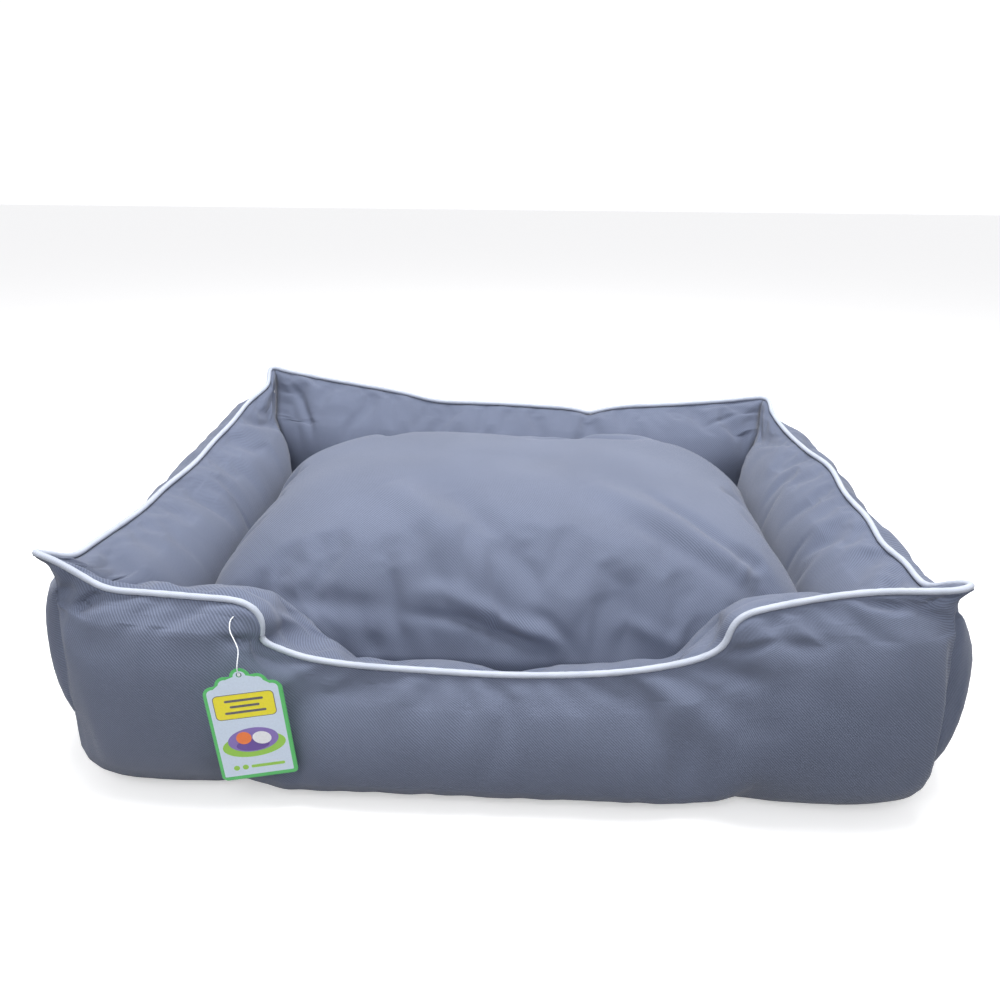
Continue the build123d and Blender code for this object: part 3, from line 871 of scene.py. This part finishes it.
# ------------------------------------------------------------------ loose cushion
# A big slack pillow of the same twill, top and bottom covers sewn together round the edge, overfilled
# with fibre so that it domes up in the nest and falls into soft diagonal folds.
cushion_low, cushion_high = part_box("cushion_bottom_cover")[0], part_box("cushion_top_cover")[1]
cushion_half_x = (cushion_high[0] - cushion_low[0]) / 2
cushion_half_y = (cushion_high[1] - cushion_low[1]) / 2
cushion_y = (cushion_high[1] + cushion_low[1]) / 2
cushion_floor = cushion_low[2]
cushion_seam = 0.080
cushion_crown = 0.204
cushion_cells_x = 124
cushion_cells_y = 88


def cushion_outline(u, v):
    """Where a place of the square sheet lies in the rounded outline of the cushion."""
    x = cushion_half_x * u * (1 - 0.085 * abs(v) ** 6)
    y = cushion_y + cushion_half_y * v * (1 - 0.085 * abs(u) ** 6)
    return x, y


def dome(u, v):
    """Height of the cushion's top over its seam: full in the middle and fuller at the back right."""
    squareness = 3.4 + 1.0 * ramp(v, -0.2, 0.8)
    edge = (1 - abs(u) ** squareness) * (1 - abs(v) ** 3.4)
    lean = 1 + 0.01 * u + 0.045 * v - 0.04 * u * u - 0.03 * v * v
    lean += 0.08 * math.exp(-(((u - 0.50) / 0.32) ** 2) - ((v - 0.80) / 0.35) ** 2)
    lean += 0.05 * math.exp(-(((u + 0.45) / 0.35) ** 2) - ((v - 0.75) / 0.35) ** 2)
    return (cushion_crown - cushion_seam) * max(edge, 0.0) ** 0.42 * lean


top_points, bottom_points = [], []
for i in range(cushion_cells_x + 1):
    for j in range(cushion_cells_y + 1):
        u, v = 2 * i / cushion_cells_x - 1, 2 * j / cushion_cells_y - 1
        # Places crowd towards the edge, where the sheet turns down steeply.
        u, v = math.sin(u * 1.35) / math.sin(1.35), math.sin(v * 1.35) / math.sin(1.35)
        x, y = cushion_outline(u, v)
        edge = (1 - abs(u) ** 6) * (1 - abs(v) ** 6)
        top_points.append((x, y, cushion_seam + dome(u, v)))
        bottom_points.append((x, y, cushion_seam - (cushion_seam - cushion_floor) * max(edge, 0.0) ** 0.35))
cushion_rows = cushion_cells_y + 1
sheet_size = (cushion_cells_x + 1) * cushion_rows
top_faces = grid_faces(cushion_cells_x + 1, cushion_rows, False)
rim = {
    i * cushion_rows + j
    for i in range(cushion_cells_x + 1)
    for j in range(cushion_rows)
    if i in (0, cushion_cells_x) or j in (0, cushion_cells_y)
}
bottom_number = {}
loose_bottom = []
for index in range(sheet_size):
    if index in rim:
        bottom_number[index] = index
    else:
        bottom_number[index] = sheet_size + len(loose_bottom)
        loose_bottom.append(bottom_points[index])
bottom_faces = [tuple(bottom_number[k] for k in face[::-1]) for face in top_faces]
cushion_points = np.array(top_points + loose_bottom)
cushion_shape = new_mesh_object("cushion_shape", cushion_points, top_faces + bottom_faces)
lumps = np.array([noise.noise(Vector(p) * 11.0 + Vector((3.1, 0.7, 0))) for p in cushion_points])
cushion_normals = along_normals(cushion_points, top_faces + bottom_faces)
rim_list = sorted(rim)
loose = np.ones(len(cushion_points))
loose[rim_list] = 0.0
start_points = cushion_points + cushion_normals * (loose * (0.005 * lumps - 0.006))[:, None]
write_points(cushion_shape, start_points)
pinned = {index: 1.0 for index in rim}
for index in range(sheet_size, len(cushion_points)):
    pinned[index] = 1.0
inflate(cushion_shape, pinned, pressure=4.0, slack=0.05, limit=0.013)
cushion_now = read_points(cushion_shape)
cushion_now[:, 2] = np.maximum(cushion_now[:, 2], cushion_floor)
bpy.data.objects.remove(cushion_shape)

# Folds of the cushion, in the same way.
cushion_folds = [
    ([(-0.1252, -0.0579, 0.2059), (-0.1047, -0.0858, 0.2030), (-0.0858, -0.1099, 0.1995),
      (-0.0681, -0.1313, 0.1955), (-0.0514, -0.1503, 0.1869), (-0.0363, -0.1579, 0.1735),
      (-0.0210, -0.1700, 0.1625), (-0.0076, -0.1745, 0.1450), (0.0061, -0.1843, 0.1304),
      (0.0196, -0.1949, 0.1165)], 0.00725, 0.02),
    ([(-0.0551, -0.0749, 0.2052), (-0.0384, -0.1037, 0.2018), (-0.0229, -0.1272, 0.1970),
      (-0.0084, -0.1453, 0.1907), (0.0089, -0.1596, 0.1760), (0.0257, -0.1712, 0.1604),
      (0.0436, -0.1831, 0.1506)], -0.0058, 0.014),
    ([(-0.0838, -0.1870, 0.1454), (-0.0563, -0.1840, 0.1468), (-0.0415, -0.1879, 0.1421),
      (-0.0271, -0.1893, 0.1360), (-0.0117, -0.1879, 0.1276), (0.0038, -0.1877, 0.1199),
      (0.0196, -0.1949, 0.1165), (0.0446, -0.2028, 0.1084), (0.0643, -0.2050, 0.0971),
      (0.0838, -0.2084, 0.0866)], 0.00725, 0.009),
    ([(-0.0890, -0.1936, 0.1279), (-0.0617, -0.1961, 0.1271), (-0.0459, -0.1971, 0.1261),
      (-0.0304, -0.1953, 0.1235), (-0.0054, -0.1944, 0.1110), (0.0161, -0.1967, 0.1062),
      (0.0374, -0.2038, 0.1045), (0.0574, -0.2062, 0.0955), (0.0774, -0.2088, 0.0867)], -0.0087, 0.006),
    ([(0.0266, -0.1921, 0.1310), (0.0441, -0.1964, 0.1267), (0.0621, -0.2023, 0.1065),
      (0.0730, -0.2055, 0.0962), (0.0838, -0.2087, 0.0857)], -0.00507, 0.006),
    ([(-0.2624, -0.1696, 0.1237), (-0.2382, -0.1764, 0.1277), (-0.2129, -0.1877, 0.1342),
      (-0.1905, -0.1923, 0.1369), (-0.1704, -0.1906, 0.1361), (-0.1522, -0.1918, 0.1353),
      (-0.1341, -0.1924, 0.1341), (-0.1163, -0.1923, 0.1325), (-0.0991, -0.1887, 0.1290)], -0.0058, 0.012),
    ([(-0.1266, -0.2020, 0.1071), (-0.1077, -0.2065, 0.0944)], -0.00507, 0.006),
    ([(-0.0109, -0.2102, 0.0820), (0.0131, -0.2093, 0.0829), (0.0370, -0.2097, 0.0846),
      (0.0591, -0.2098, 0.0839), (0.0812, -0.2099, 0.0832)], -0.0058, 0.005),
    ([(0.0844, -0.0485, 0.2076), (0.1029, -0.0675, 0.2048), (0.1206, -0.0859, 0.2021),
      (0.1378, -0.1026, 0.1991), (0.1547, -0.1164, 0.1952), (0.1713, -0.1321, 0.1884),
      (0.1880, -0.1446, 0.1805), (0.2053, -0.1530, 0.1709), (0.2235, -0.1575, 0.1596),
      (0.2406, -0.1537, 0.1460), (0.2550, -0.1585, 0.1368)], 0.0058, 0.016),
    ([(0.1182, -0.1131, 0.1971), (0.1353, -0.1282, 0.1927), (0.1524, -0.1401, 0.1872),
      (0.1695, -0.1497, 0.1810), (0.1870, -0.1561, 0.1734), (0.2047, -0.1622, 0.1638),
      (0.2233, -0.1646, 0.1525), (0.2447, -0.1588, 0.1366)], -0.00652, 0.012),
    ([(0.1409, -0.0570, 0.2045), (0.1549, -0.0767, 0.2019), (0.1687, -0.0932, 0.1984),
      (0.1828, -0.1061, 0.1937), (0.1962, -0.1206, 0.1877), (0.2097, -0.1328, 0.1808),
      (0.2245, -0.1390, 0.1716), (0.2406, -0.1408, 0.1602), (0.2501, -0.1497, 0.1496),
      (0.2599, -0.1571, 0.1383)], -0.00507, 0.008),
    ([(0.1015, -0.1951, 0.1153), (0.1155, -0.1873, 0.1238), (0.1325, -0.1967, 0.1190),
      (0.1502, -0.2007, 0.1112), (0.1682, -0.2026, 0.1021)], 0.00362, 0.008),
    ([(0.0222, 0.1034, 0.2072), (0.0469, 0.1117, 0.2061), (0.0963, 0.1147, 0.2080),
      (0.1203, 0.1083, 0.2096), (0.1449, 0.1090, 0.2091), (0.1715, 0.1235, 0.2043)], -0.0058, 0.007),
]

cushion_twill = twill("slate_twill_cushion", slate_light, slate_dark)
top_sheet = cushion_now[:sheet_size]
bottom_sheet = np.array([cushion_now[bottom_number[k]] for k in range(sheet_size)])
cushion_top = cloth_panel("cushion_top", top_sheet, cushion_rows, False, cushion_twill, cushion_folds)
cushion_bottom = cloth_panel(
    "cushion_underside",
    bottom_sheet.reshape(cushion_cells_x + 1, cushion_rows, 3)[::-1].reshape(-1, 3),
    cushion_rows,
    False,
    cushion_twill,
)
cushion_normals = along_normals(cushion_now, top_faces + bottom_faces)
cushion_stuffing_inset = 7.0 * cloth_thickness
inside = cushion_now - cushion_normals * cushion_stuffing_inset
inside[:, 2] = np.maximum(inside[:, 2], cushion_floor + cloth_thickness)
cushion_fibre = new_mesh_object("cushion_fibre", inside, top_faces + bottom_faces)
cushion_fibre.data.materials.append(polyester)
for polygon in cushion_fibre.data.polygons:
    polygon.use_smooth = True
for piece, node, slot_name in (
    (cushion_top, "cushion_top_cover", "slate_twill"),
    (cushion_bottom, "cushion_bottom_cover", "slate_twill"),
    (cushion_fibre, "cushion_filling", "polyester_fibre"),
):
    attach(piece, "cushion")
    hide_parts(node)

# ------------------------------------------------------------------ zip in the cushion's back edge
# A coil zip on two woven tapes, sewn into the middle of the back edge so that the cover comes off;
# its moulded slider and pressed pull run along the teeth.
tape_low, tape_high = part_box("zip_tape")
teeth_low, teeth_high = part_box("zip_teeth")
zip_weave = tape_cotton("zip_tape_weave", (0.100, 0.115, 0.160), (0.050, 0.058, 0.085))
for side, low, high in (
    ("lower", tape_low[2], teeth_low[2] + 0.0008),
    ("upper", teeth_high[2] - 0.0008, tape_high[2]),
):
    strip_rows = 7
    strip = []
    for i in range(111):
        x = tape_high[0] + (tape_low[0] - tape_high[0]) * i / 110
        for j in range(strip_rows):
            share = j / (strip_rows - 1)
            ripple = 0.0004 * math.sin(x * 190.0) * abs(2 * share - 1)
            strip.append((x, tape_high[1] - 0.0002 + ripple, low + (high - low) * share))
    tape = cloth_panel(f"zip_tape_{side}", strip, strip_rows, False, zip_weave)
    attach(tape, "cushion")
    if side == "lower":
        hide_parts("zip_tape")


def moulded(name, colour, metallic, roughness):
    """Hard-wearing finish, a little cloudy and worn brighter where it is handled."""
    material, shader, add, join = node_material(name, Metallic=metallic)
    coordinates = add("TexCoord")
    cloud = add("TexNoise", Scale=400.0, Detail=5.0)
    tone = add("ValToRGB")
    two_tones(tone, [0.75 * part for part in colour], colour, 0.3, 0.7)
    polish = add("MapRange", To_Min=roughness - 0.08, To_Max=roughness + 0.12)
    bump = add("Bump", Strength=0.15, Distance=0.0001)
    join(coordinates, "Object", cloud, "Vector")
    join(cloud, "Fac", tone, "Fac")
    join(tone, "Color", shader, "Base Color")
    join(cloud, "Fac", polish, "Value")
    join(polish, "Result", shader, "Roughness")
    join(cloud, "Fac", bump, "Height")
    join(bump, "Normal", shader, "Normal")
    return material


zip_plastic = moulded("zip_tooth_nylon", (0.090, 0.100, 0.130), 0.0, 0.45)
zip_zinc = moulded("zip_zinc", (0.46, 0.47, 0.49), 0.85, 0.35)
for node, material in (("zip_teeth", zip_plastic), ("zip_slider", zip_zinc), ("zip_pull", zip_zinc)):
    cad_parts[node].data.materials.clear()
    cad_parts[node].data.materials.append(material)

# ------------------------------------------------------------------ floor of the bed
# Under the cushion the nest has a flat floor: twill lining over a sheet of wadding, on a base of
# dark non-slip cloth that the walls are sewn to.
lining_low, lining_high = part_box("floor_lining")
lining_rows = 61
lining_points = []
for i in range(89):
    for j in range(lining_rows):
        u, v = 2 * i / 88 - 1, 2 * j / (lining_rows - 1) - 1
        puff = 0.0012 * (1 - abs(u) ** 8) * (1 - abs(v) ** 8)
        wrinkle = 0.0005 * noise.noise(Vector((u * 9.0, v * 7.0, 2.2)))
        lining_points.append(
            (
                (lining_low[0] + lining_high[0]) / 2 + u * (lining_high[0] - lining_low[0]) / 2,
                (lining_low[1] + lining_high[1]) / 2 + v * (lining_high[1] - lining_low[1]) / 2,
                lining_high[2] - 0.0010 + puff * 0.6 + wrinkle,
            )
        )
lining = cloth_panel("nest_floor_lining", lining_points, lining_rows, False, wall_twill)
padding_low, padding_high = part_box("floor_padding")
bpy.ops.object.select_all(action="DESELECT")
bpy.ops.mesh.primitive_cube_add(size=1.0, location=[(a + b) / 2 for a, b in zip(padding_low, padding_high)])
padding = bpy.context.object
padding.name = "nest_floor_wadding"
padding.scale = [b - a for a, b in zip(padding_low, padding_high)]
padding.scale[2] -= 0.0012
bpy.ops.object.transform_apply(location=True, rotation=True, scale=True)
bpy.ops.object.mode_set(mode="EDIT")
bpy.ops.mesh.select_all(action="SELECT")
bpy.ops.mesh.bevel(offset=0.003, segments=3, affect="EDGES")
bpy.ops.object.mode_set(mode="OBJECT")
bpy.ops.object.shade_smooth()
padding.data.materials.append(fibre("polyester_wadding", (0.80, 0.81, 0.80)))
base_low, base_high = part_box("base_cloth")
bpy.ops.object.select_all(action="DESELECT")
bpy.ops.mesh.primitive_grid_add(
    x_subdivisions=48,
    y_subdivisions=34,
    size=1.0,
    location=((base_low[0] + base_high[0]) / 2, (base_low[1] + base_high[1]) / 2, base_high[2]),
)
base = bpy.context.object
base.name = "base_non_slip_cloth"
base.scale = (base_high[0] - base_low[0], base_high[1] - base_low[1], 1.0)
bpy.ops.object.transform_apply(location=True, rotation=True, scale=True)
for corner in base.data.vertices:
    corner.co.z -= 0.0002 + 0.0001 * noise.noise(corner.co * 30.0)
base_body = base.modifiers.new("Solidify", "SOLIDIFY")
base_body.thickness = 0.0012
base_body.offset = -1
bpy.ops.object.modifier_apply(modifier="Solidify")
bpy.ops.object.shade_smooth_by_angle(angle=math.radians(40))


def non_slip(name):
    """Dark woven cloth with rows of small raised rubbery dots."""
    material, shader, add, join = node_material(name)
    coordinates = add("TexCoord")
    dots = add("TexVoronoi", Scale=125.0, Randomness=0.0)
    dots.voronoi_dimensions = "2D"
    edge = add("MapRange", From_Min=0.32, From_Max=0.22)
    cloth = add("TexNoise", Scale=900.0)
    tone = add("Mix")
    tone.data_type = "RGBA"
    set_sockets(tone, A=(0.020, 0.021, 0.025, 1), B=(0.045, 0.046, 0.050, 1))
    shine = add("MapRange", To_Min=0.85, To_Max=0.42)
    height = add("Math")
    height.operation = "MULTIPLY_ADD"
    height.inputs[1].default_value = 0.2
    bump = add("Bump", Strength=0.8, Distance=0.0006)
    join(coordinates, "Object", dots, "Vector")
    join(coordinates, "Object", cloth, "Vector")
    join(dots, "Distance", edge, "Value")
    join(edge, "Result", tone, "Factor")
    join(tone, "Result", shader, "Base Color")
    join(edge, "Result", shine, "Value")
    join(shine, "Result", shader, "Roughness")
    join(cloth, "Fac", height, 0)
    join(edge, "Result", height, 2)
    join(height, "Value", bump, "Height")
    join(bump, "Normal", shader, "Normal")
    return material


base.data.materials.append(non_slip("non_slip_base"))
for piece, node, slot_name in (
    (lining, "floor_lining", "slate_twill"),
    (padding, "floor_padding", "polyester_wadding"),
    (base, "base_cloth", "base_fabric"),
):
    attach(piece, "bed")
    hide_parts(node)

# ------------------------------------------------------------------ swing tag
# Two leaves of glossy printed card, die-cut with a scalloped top, one behind the other, with a plain
# printed picture: a yellow plate over an oval bed on a green mound. It has no lettering.
tag_middle = Vector((-0.1947, -0.3220, 0.0974))
tag_across = Vector((0.98241, 0.17323, 0.06976)).normalized()
tag_front = Vector((0.17365, -0.98481, 0.0)).normalized()
tag_up = tag_front.cross(tag_across)


def arc_points(centre, radius, first, last, steps=9):
    """Points of an arc in the card's plane, in millimetres; angles in degrees."""
    return [
        (
            centre[0] + radius * math.cos(math.radians(first + (last - first) * k / steps)),
            centre[1] + radius * math.sin(math.radians(first + (last - first) * k / steps)),
        )
        for k in range(steps + 1)
    ]


def scalloped(inset):
    """The card's outline, drawn in by the inset all round."""
    right = arc_points((0, 44.6), 7.4 - inset, 90, 4)
    right += arc_points((12.4, 38.2), 7.4 - inset, 104, 10)
    right += arc_points((22.6, 30.6), 7.4 - inset, 100, 0)
    right += arc_points((26.0, -48.0), 4.0 - 0.6 * inset, 0, -90)
    shifted = [(x, y + (0 if y > 0 else 0.4 * inset)) for x, y in right]
    shifted = [(min(x, 30.0 - inset), max(y, -52.0 + inset)) for x, y in shifted]
    return shifted + [(-x, y) for x, y in shifted[::-1]]


def ellipse(centre, half_wide, half_high, turn=0.0, count=40):
    """An ellipse in the card's plane."""
    points = []
    for k in range(count):
        a = -2 * math.pi * k / count
        x, y = half_wide * math.cos(a), half_high * math.sin(a)
        points.append(
            (
                centre[0] + x * math.cos(turn) - y * math.sin(turn),
                centre[1] + x * math.sin(turn) + y * math.cos(turn),
            )
        )
    return points


def plate(centre, half_wide, half_high, corner):
    """A rounded rectangle in the card's plane."""
    points = []
    for sx, sy, first in ((1, 1, 90), (1, -1, 0), (-1, -1, -90), (-1, 1, -180)):
        middle = (centre[0] + sx * (half_wide - corner), centre[1] + sy * (half_high - corner))
        points += arc_points(middle, corner, first, first - 90, 6)
    return points


def printed(name, colour, gloss=0.25):
    """Ink under varnish on card: even colour with a faint paper grain."""
    material, shader, add, join = node_material(
        name, Roughness=0.42, Coat_Weight=gloss, Coat_Roughness=0.18
    )
    coordinates = add("TexCoord")
    grain = add("TexNoise", Scale=700.0, Detail=4.0)
    tone = add("ValToRGB")
    two_tones(tone, [0.93 * part for part in colour], colour, 0.3, 0.7)
    join(coordinates, "Object", grain, "Vector")
    join(grain, "Fac", tone, "Fac")
    join(tone, "Color", shader, "Base Color")
    return material


def card_layer(name, outline, behind, thickness, material, shift=(0.0, 0.0)):
    """One flat layer of the card; behind is how far its front lies behind the front leaf's middle."""
    points = [
        tag_middle
        + tag_across * ((x + shift[0]) / 1000)
        + tag_up * ((y + shift[1]) / 1000)
        - tag_front * (behind / 1000)
        for x, y in outline
    ]
    layer = new_mesh_object(name, points, [tuple(range(len(points)))[::-1]])
    if layer.data.polygons[0].normal.dot(tag_front) < 0:
        layer.data.flip_normals()
    body = layer.modifiers.new("Solidify", "SOLIDIFY")
    body.thickness = thickness / 1000
    body.offset = -1
    pick_only(layer)
    bpy.ops.object.modifier_apply(modifier="Solidify")
    layer.data.materials.append(material)
    return layer


card_green = printed("tag_green_edge", (0.070, 0.460, 0.115))
card_pale = printed("tag_pale_field", (0.640, 0.740, 0.880), 0.35)
front_leaf = card_layer("swing_tag_card", scalloped(0.0), -0.30, 0.28, card_green)
back_leaf = card_layer("swing_tag_back_leaf", scalloped(0.0), 0.05, 0.28, card_green, (0.7, -1.1))
field = card_layer("swing_tag_field", scalloped(2.6), -0.34, 0.05, card_pale)
bpy.ops.object.select_all(action="DESELECT")
bpy.ops.mesh.primitive_cylinder_add(
    vertices=28,
    radius=0.0022,
    depth=0.004,
    location=tag_middle + tag_up * 0.046,
    rotation=tag_front.to_track_quat("Z", "Y").to_euler(),
)
punch = bpy.context.object
for leaf in (front_leaf, back_leaf, field):
    punched = leaf.modifiers.new("Boolean", "BOOLEAN")
    punched.operation = "DIFFERENCE"
    punched.object = punch
    pick_only(leaf)
    bpy.ops.object.modifier_apply(modifier="Boolean")
bpy.data.objects.remove(punch)

ink_dark = printed("tag_ink_dark", (0.055, 0.050, 0.070))
ink_yellow = printed("tag_ink_yellow", (0.860, 0.760, 0.020))
ink_lime = printed("tag_ink_lime", (0.280, 0.560, 0.050))
ink_purple = printed("tag_ink_purple", (0.200, 0.130, 0.430))
ink_violet = printed("tag_ink_violet", (0.085, 0.030, 0.260))
ink_orange = printed("tag_ink_orange", (0.840, 0.190, 0.030))
ink_white = printed("tag_ink_white", (0.860, 0.870, 0.900))
prints = [
    ("plate_edge", plate((-0.5, 17.5), 23.6, 11.6, 4.0), -0.37, ink_dark),
    ("plate", plate((-0.5, 17.5), 23.0, 11.0, 3.5), -0.40, ink_yellow),
    ("bar_1", plate((-0.5, 23.0), 15.0, 1.1, 1.0), -0.43, ink_dark),
    ("bar_2", plate((-0.5, 17.5), 11.5, 1.1, 1.0), -0.43, ink_dark),
    ("bar_3", plate((-0.5, 12.0), 16.0, 1.1, 1.0), -0.43, ink_dark),
    ("mound", ellipse((0.5, -20.5), 25.0, 11.5, 0.05), -0.37, ink_lime),
    ("oval_bed", ellipse((0.5, -15.5), 20.0, 11.5, 0.05), -0.40, ink_purple),
    ("oval_front", ellipse((-0.5, -20.5), 13.0, 5.6), -0.43, ink_violet),
    ("ball", ellipse((-6.5, -13.0), 6.0, 6.0), -0.46, ink_orange),
    ("pillow", ellipse((7.5, -14.5), 7.4, 6.0, -0.3), -0.46, ink_white),
    ("dot_1", ellipse((-17.0, -41.5), 2.4, 2.4, 0.0, 24), -0.37, ink_lime),
    ("dot_2", ellipse((-10.0, -41.5), 2.4, 2.4, 0.0, 24), -0.37, ink_lime),
    ("strip", plate((8.0, -41.5), 13.5, 1.4, 1.3), -0.37, ink_lime),
]
inks = [
    card_layer(f"swing_tag_print_{label}", outline, behind, 0.03, ink)
    for label, outline, behind, ink in prints
]
bpy.ops.object.select_all(action="DESELECT")
for layer in [field, back_leaf, front_leaf]:
    layer.select_set(True)
bpy.context.view_layer.objects.active = front_leaf
bpy.ops.object.join()
bpy.ops.object.select_all(action="DESELECT")
for layer in inks:
    layer.select_set(True)
bpy.context.view_layer.objects.active = inks[0]
bpy.ops.object.join()
inks[0].name = "swing_tag_print"
for piece in (front_leaf, inks[0]):
    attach(piece, "swing_tag")
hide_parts("swing_tag")

# ------------------------------------------------------------------ studio
# A plain pale floor under soft light: lamps above, in front and behind, in an even white room.
bpy.ops.object.select_all(action="DESELECT")
bpy.ops.mesh.primitive_plane_add(size=30.0, location=(0, 0, 0))
floor = bpy.context.object
floor.name = "studio_floor"
pale = node_material(
    "pale_floor",
    Base_Color=(0.90, 0.90, 0.90, 1),
    Roughness=0.8,
    Emission_Color=(1, 1, 1, 1),
    Emission_Strength=0.35,
)[0]
floor.data.materials.append(pale)
# The floor stays bright but throws no light up on to the cloth.
floor.visible_diffuse = False

# The room is white round the horizon, softer overhead where the lamps are, and dim below, so the
# cloth darkens where it turns under.
bpy.context.scene.view_settings.view_transform = "Standard"
world = bpy.data.worlds.new("studio_world")
bpy.context.scene.world = world
world.use_nodes = True
room = world.node_tree.nodes
background = set_sockets(room["Background"], Strength=1.05)
direction = room.new("ShaderNodeTexCoord")
split = room.new("ShaderNodeSeparateXYZ")
steepness = set_sockets(room.new("ShaderNodeMapRange"), From_Min=-0.1, From_Max=0.9)
room_tone = room.new("ShaderNodeValToRGB")
for place, grey in ((0.02, 0.05), (0.05, 1.0), (0.28, 1.0), (0.45, 0.55)):
    stop = room_tone.color_ramp.elements.new(place)
    stop.color = (grey, grey, grey * 1.02, 1)
room_tone.color_ramp.elements[0].color = (0.05, 0.05, 0.051, 1)
room_tone.color_ramp.elements[-1].color = (0.55, 0.55, 0.56, 1)
world.node_tree.links.new(direction.outputs["Generated"], split.inputs["Vector"])
world.node_tree.links.new(split.outputs["Z"], steepness.inputs["Value"])
world.node_tree.links.new(steepness.outputs["Result"], room_tone.inputs["Fac"])
world.node_tree.links.new(room_tone.outputs["Color"], background.inputs["Color"])
for light_name, place, aim, size, power in (
    ("overhead", (0.05, 0.10, 1.9), (0, 0, 0), 1.2, 38.0),
    ("front_middle", (-0.1, -1.7, 1.5), (0, 0, 0.05), 1.2, 17.0),
    ("back_right", (1.3, 1.5, 1.4), (0, 0, 0.1), 1.0, 5.0),
):
    lamp = bpy.data.lights.new(light_name, "AREA")
    lamp.shape = "DISK"
    lamp.size = size
    lamp.energy = power
    holder = bpy.data.objects.new(light_name, lamp)
    holder.location = place
    holder.rotation_euler = (Vector(aim) - Vector(place)).to_track_quat("-Z", "Y").to_euler()
    bpy.context.collection.objects.link(holder)
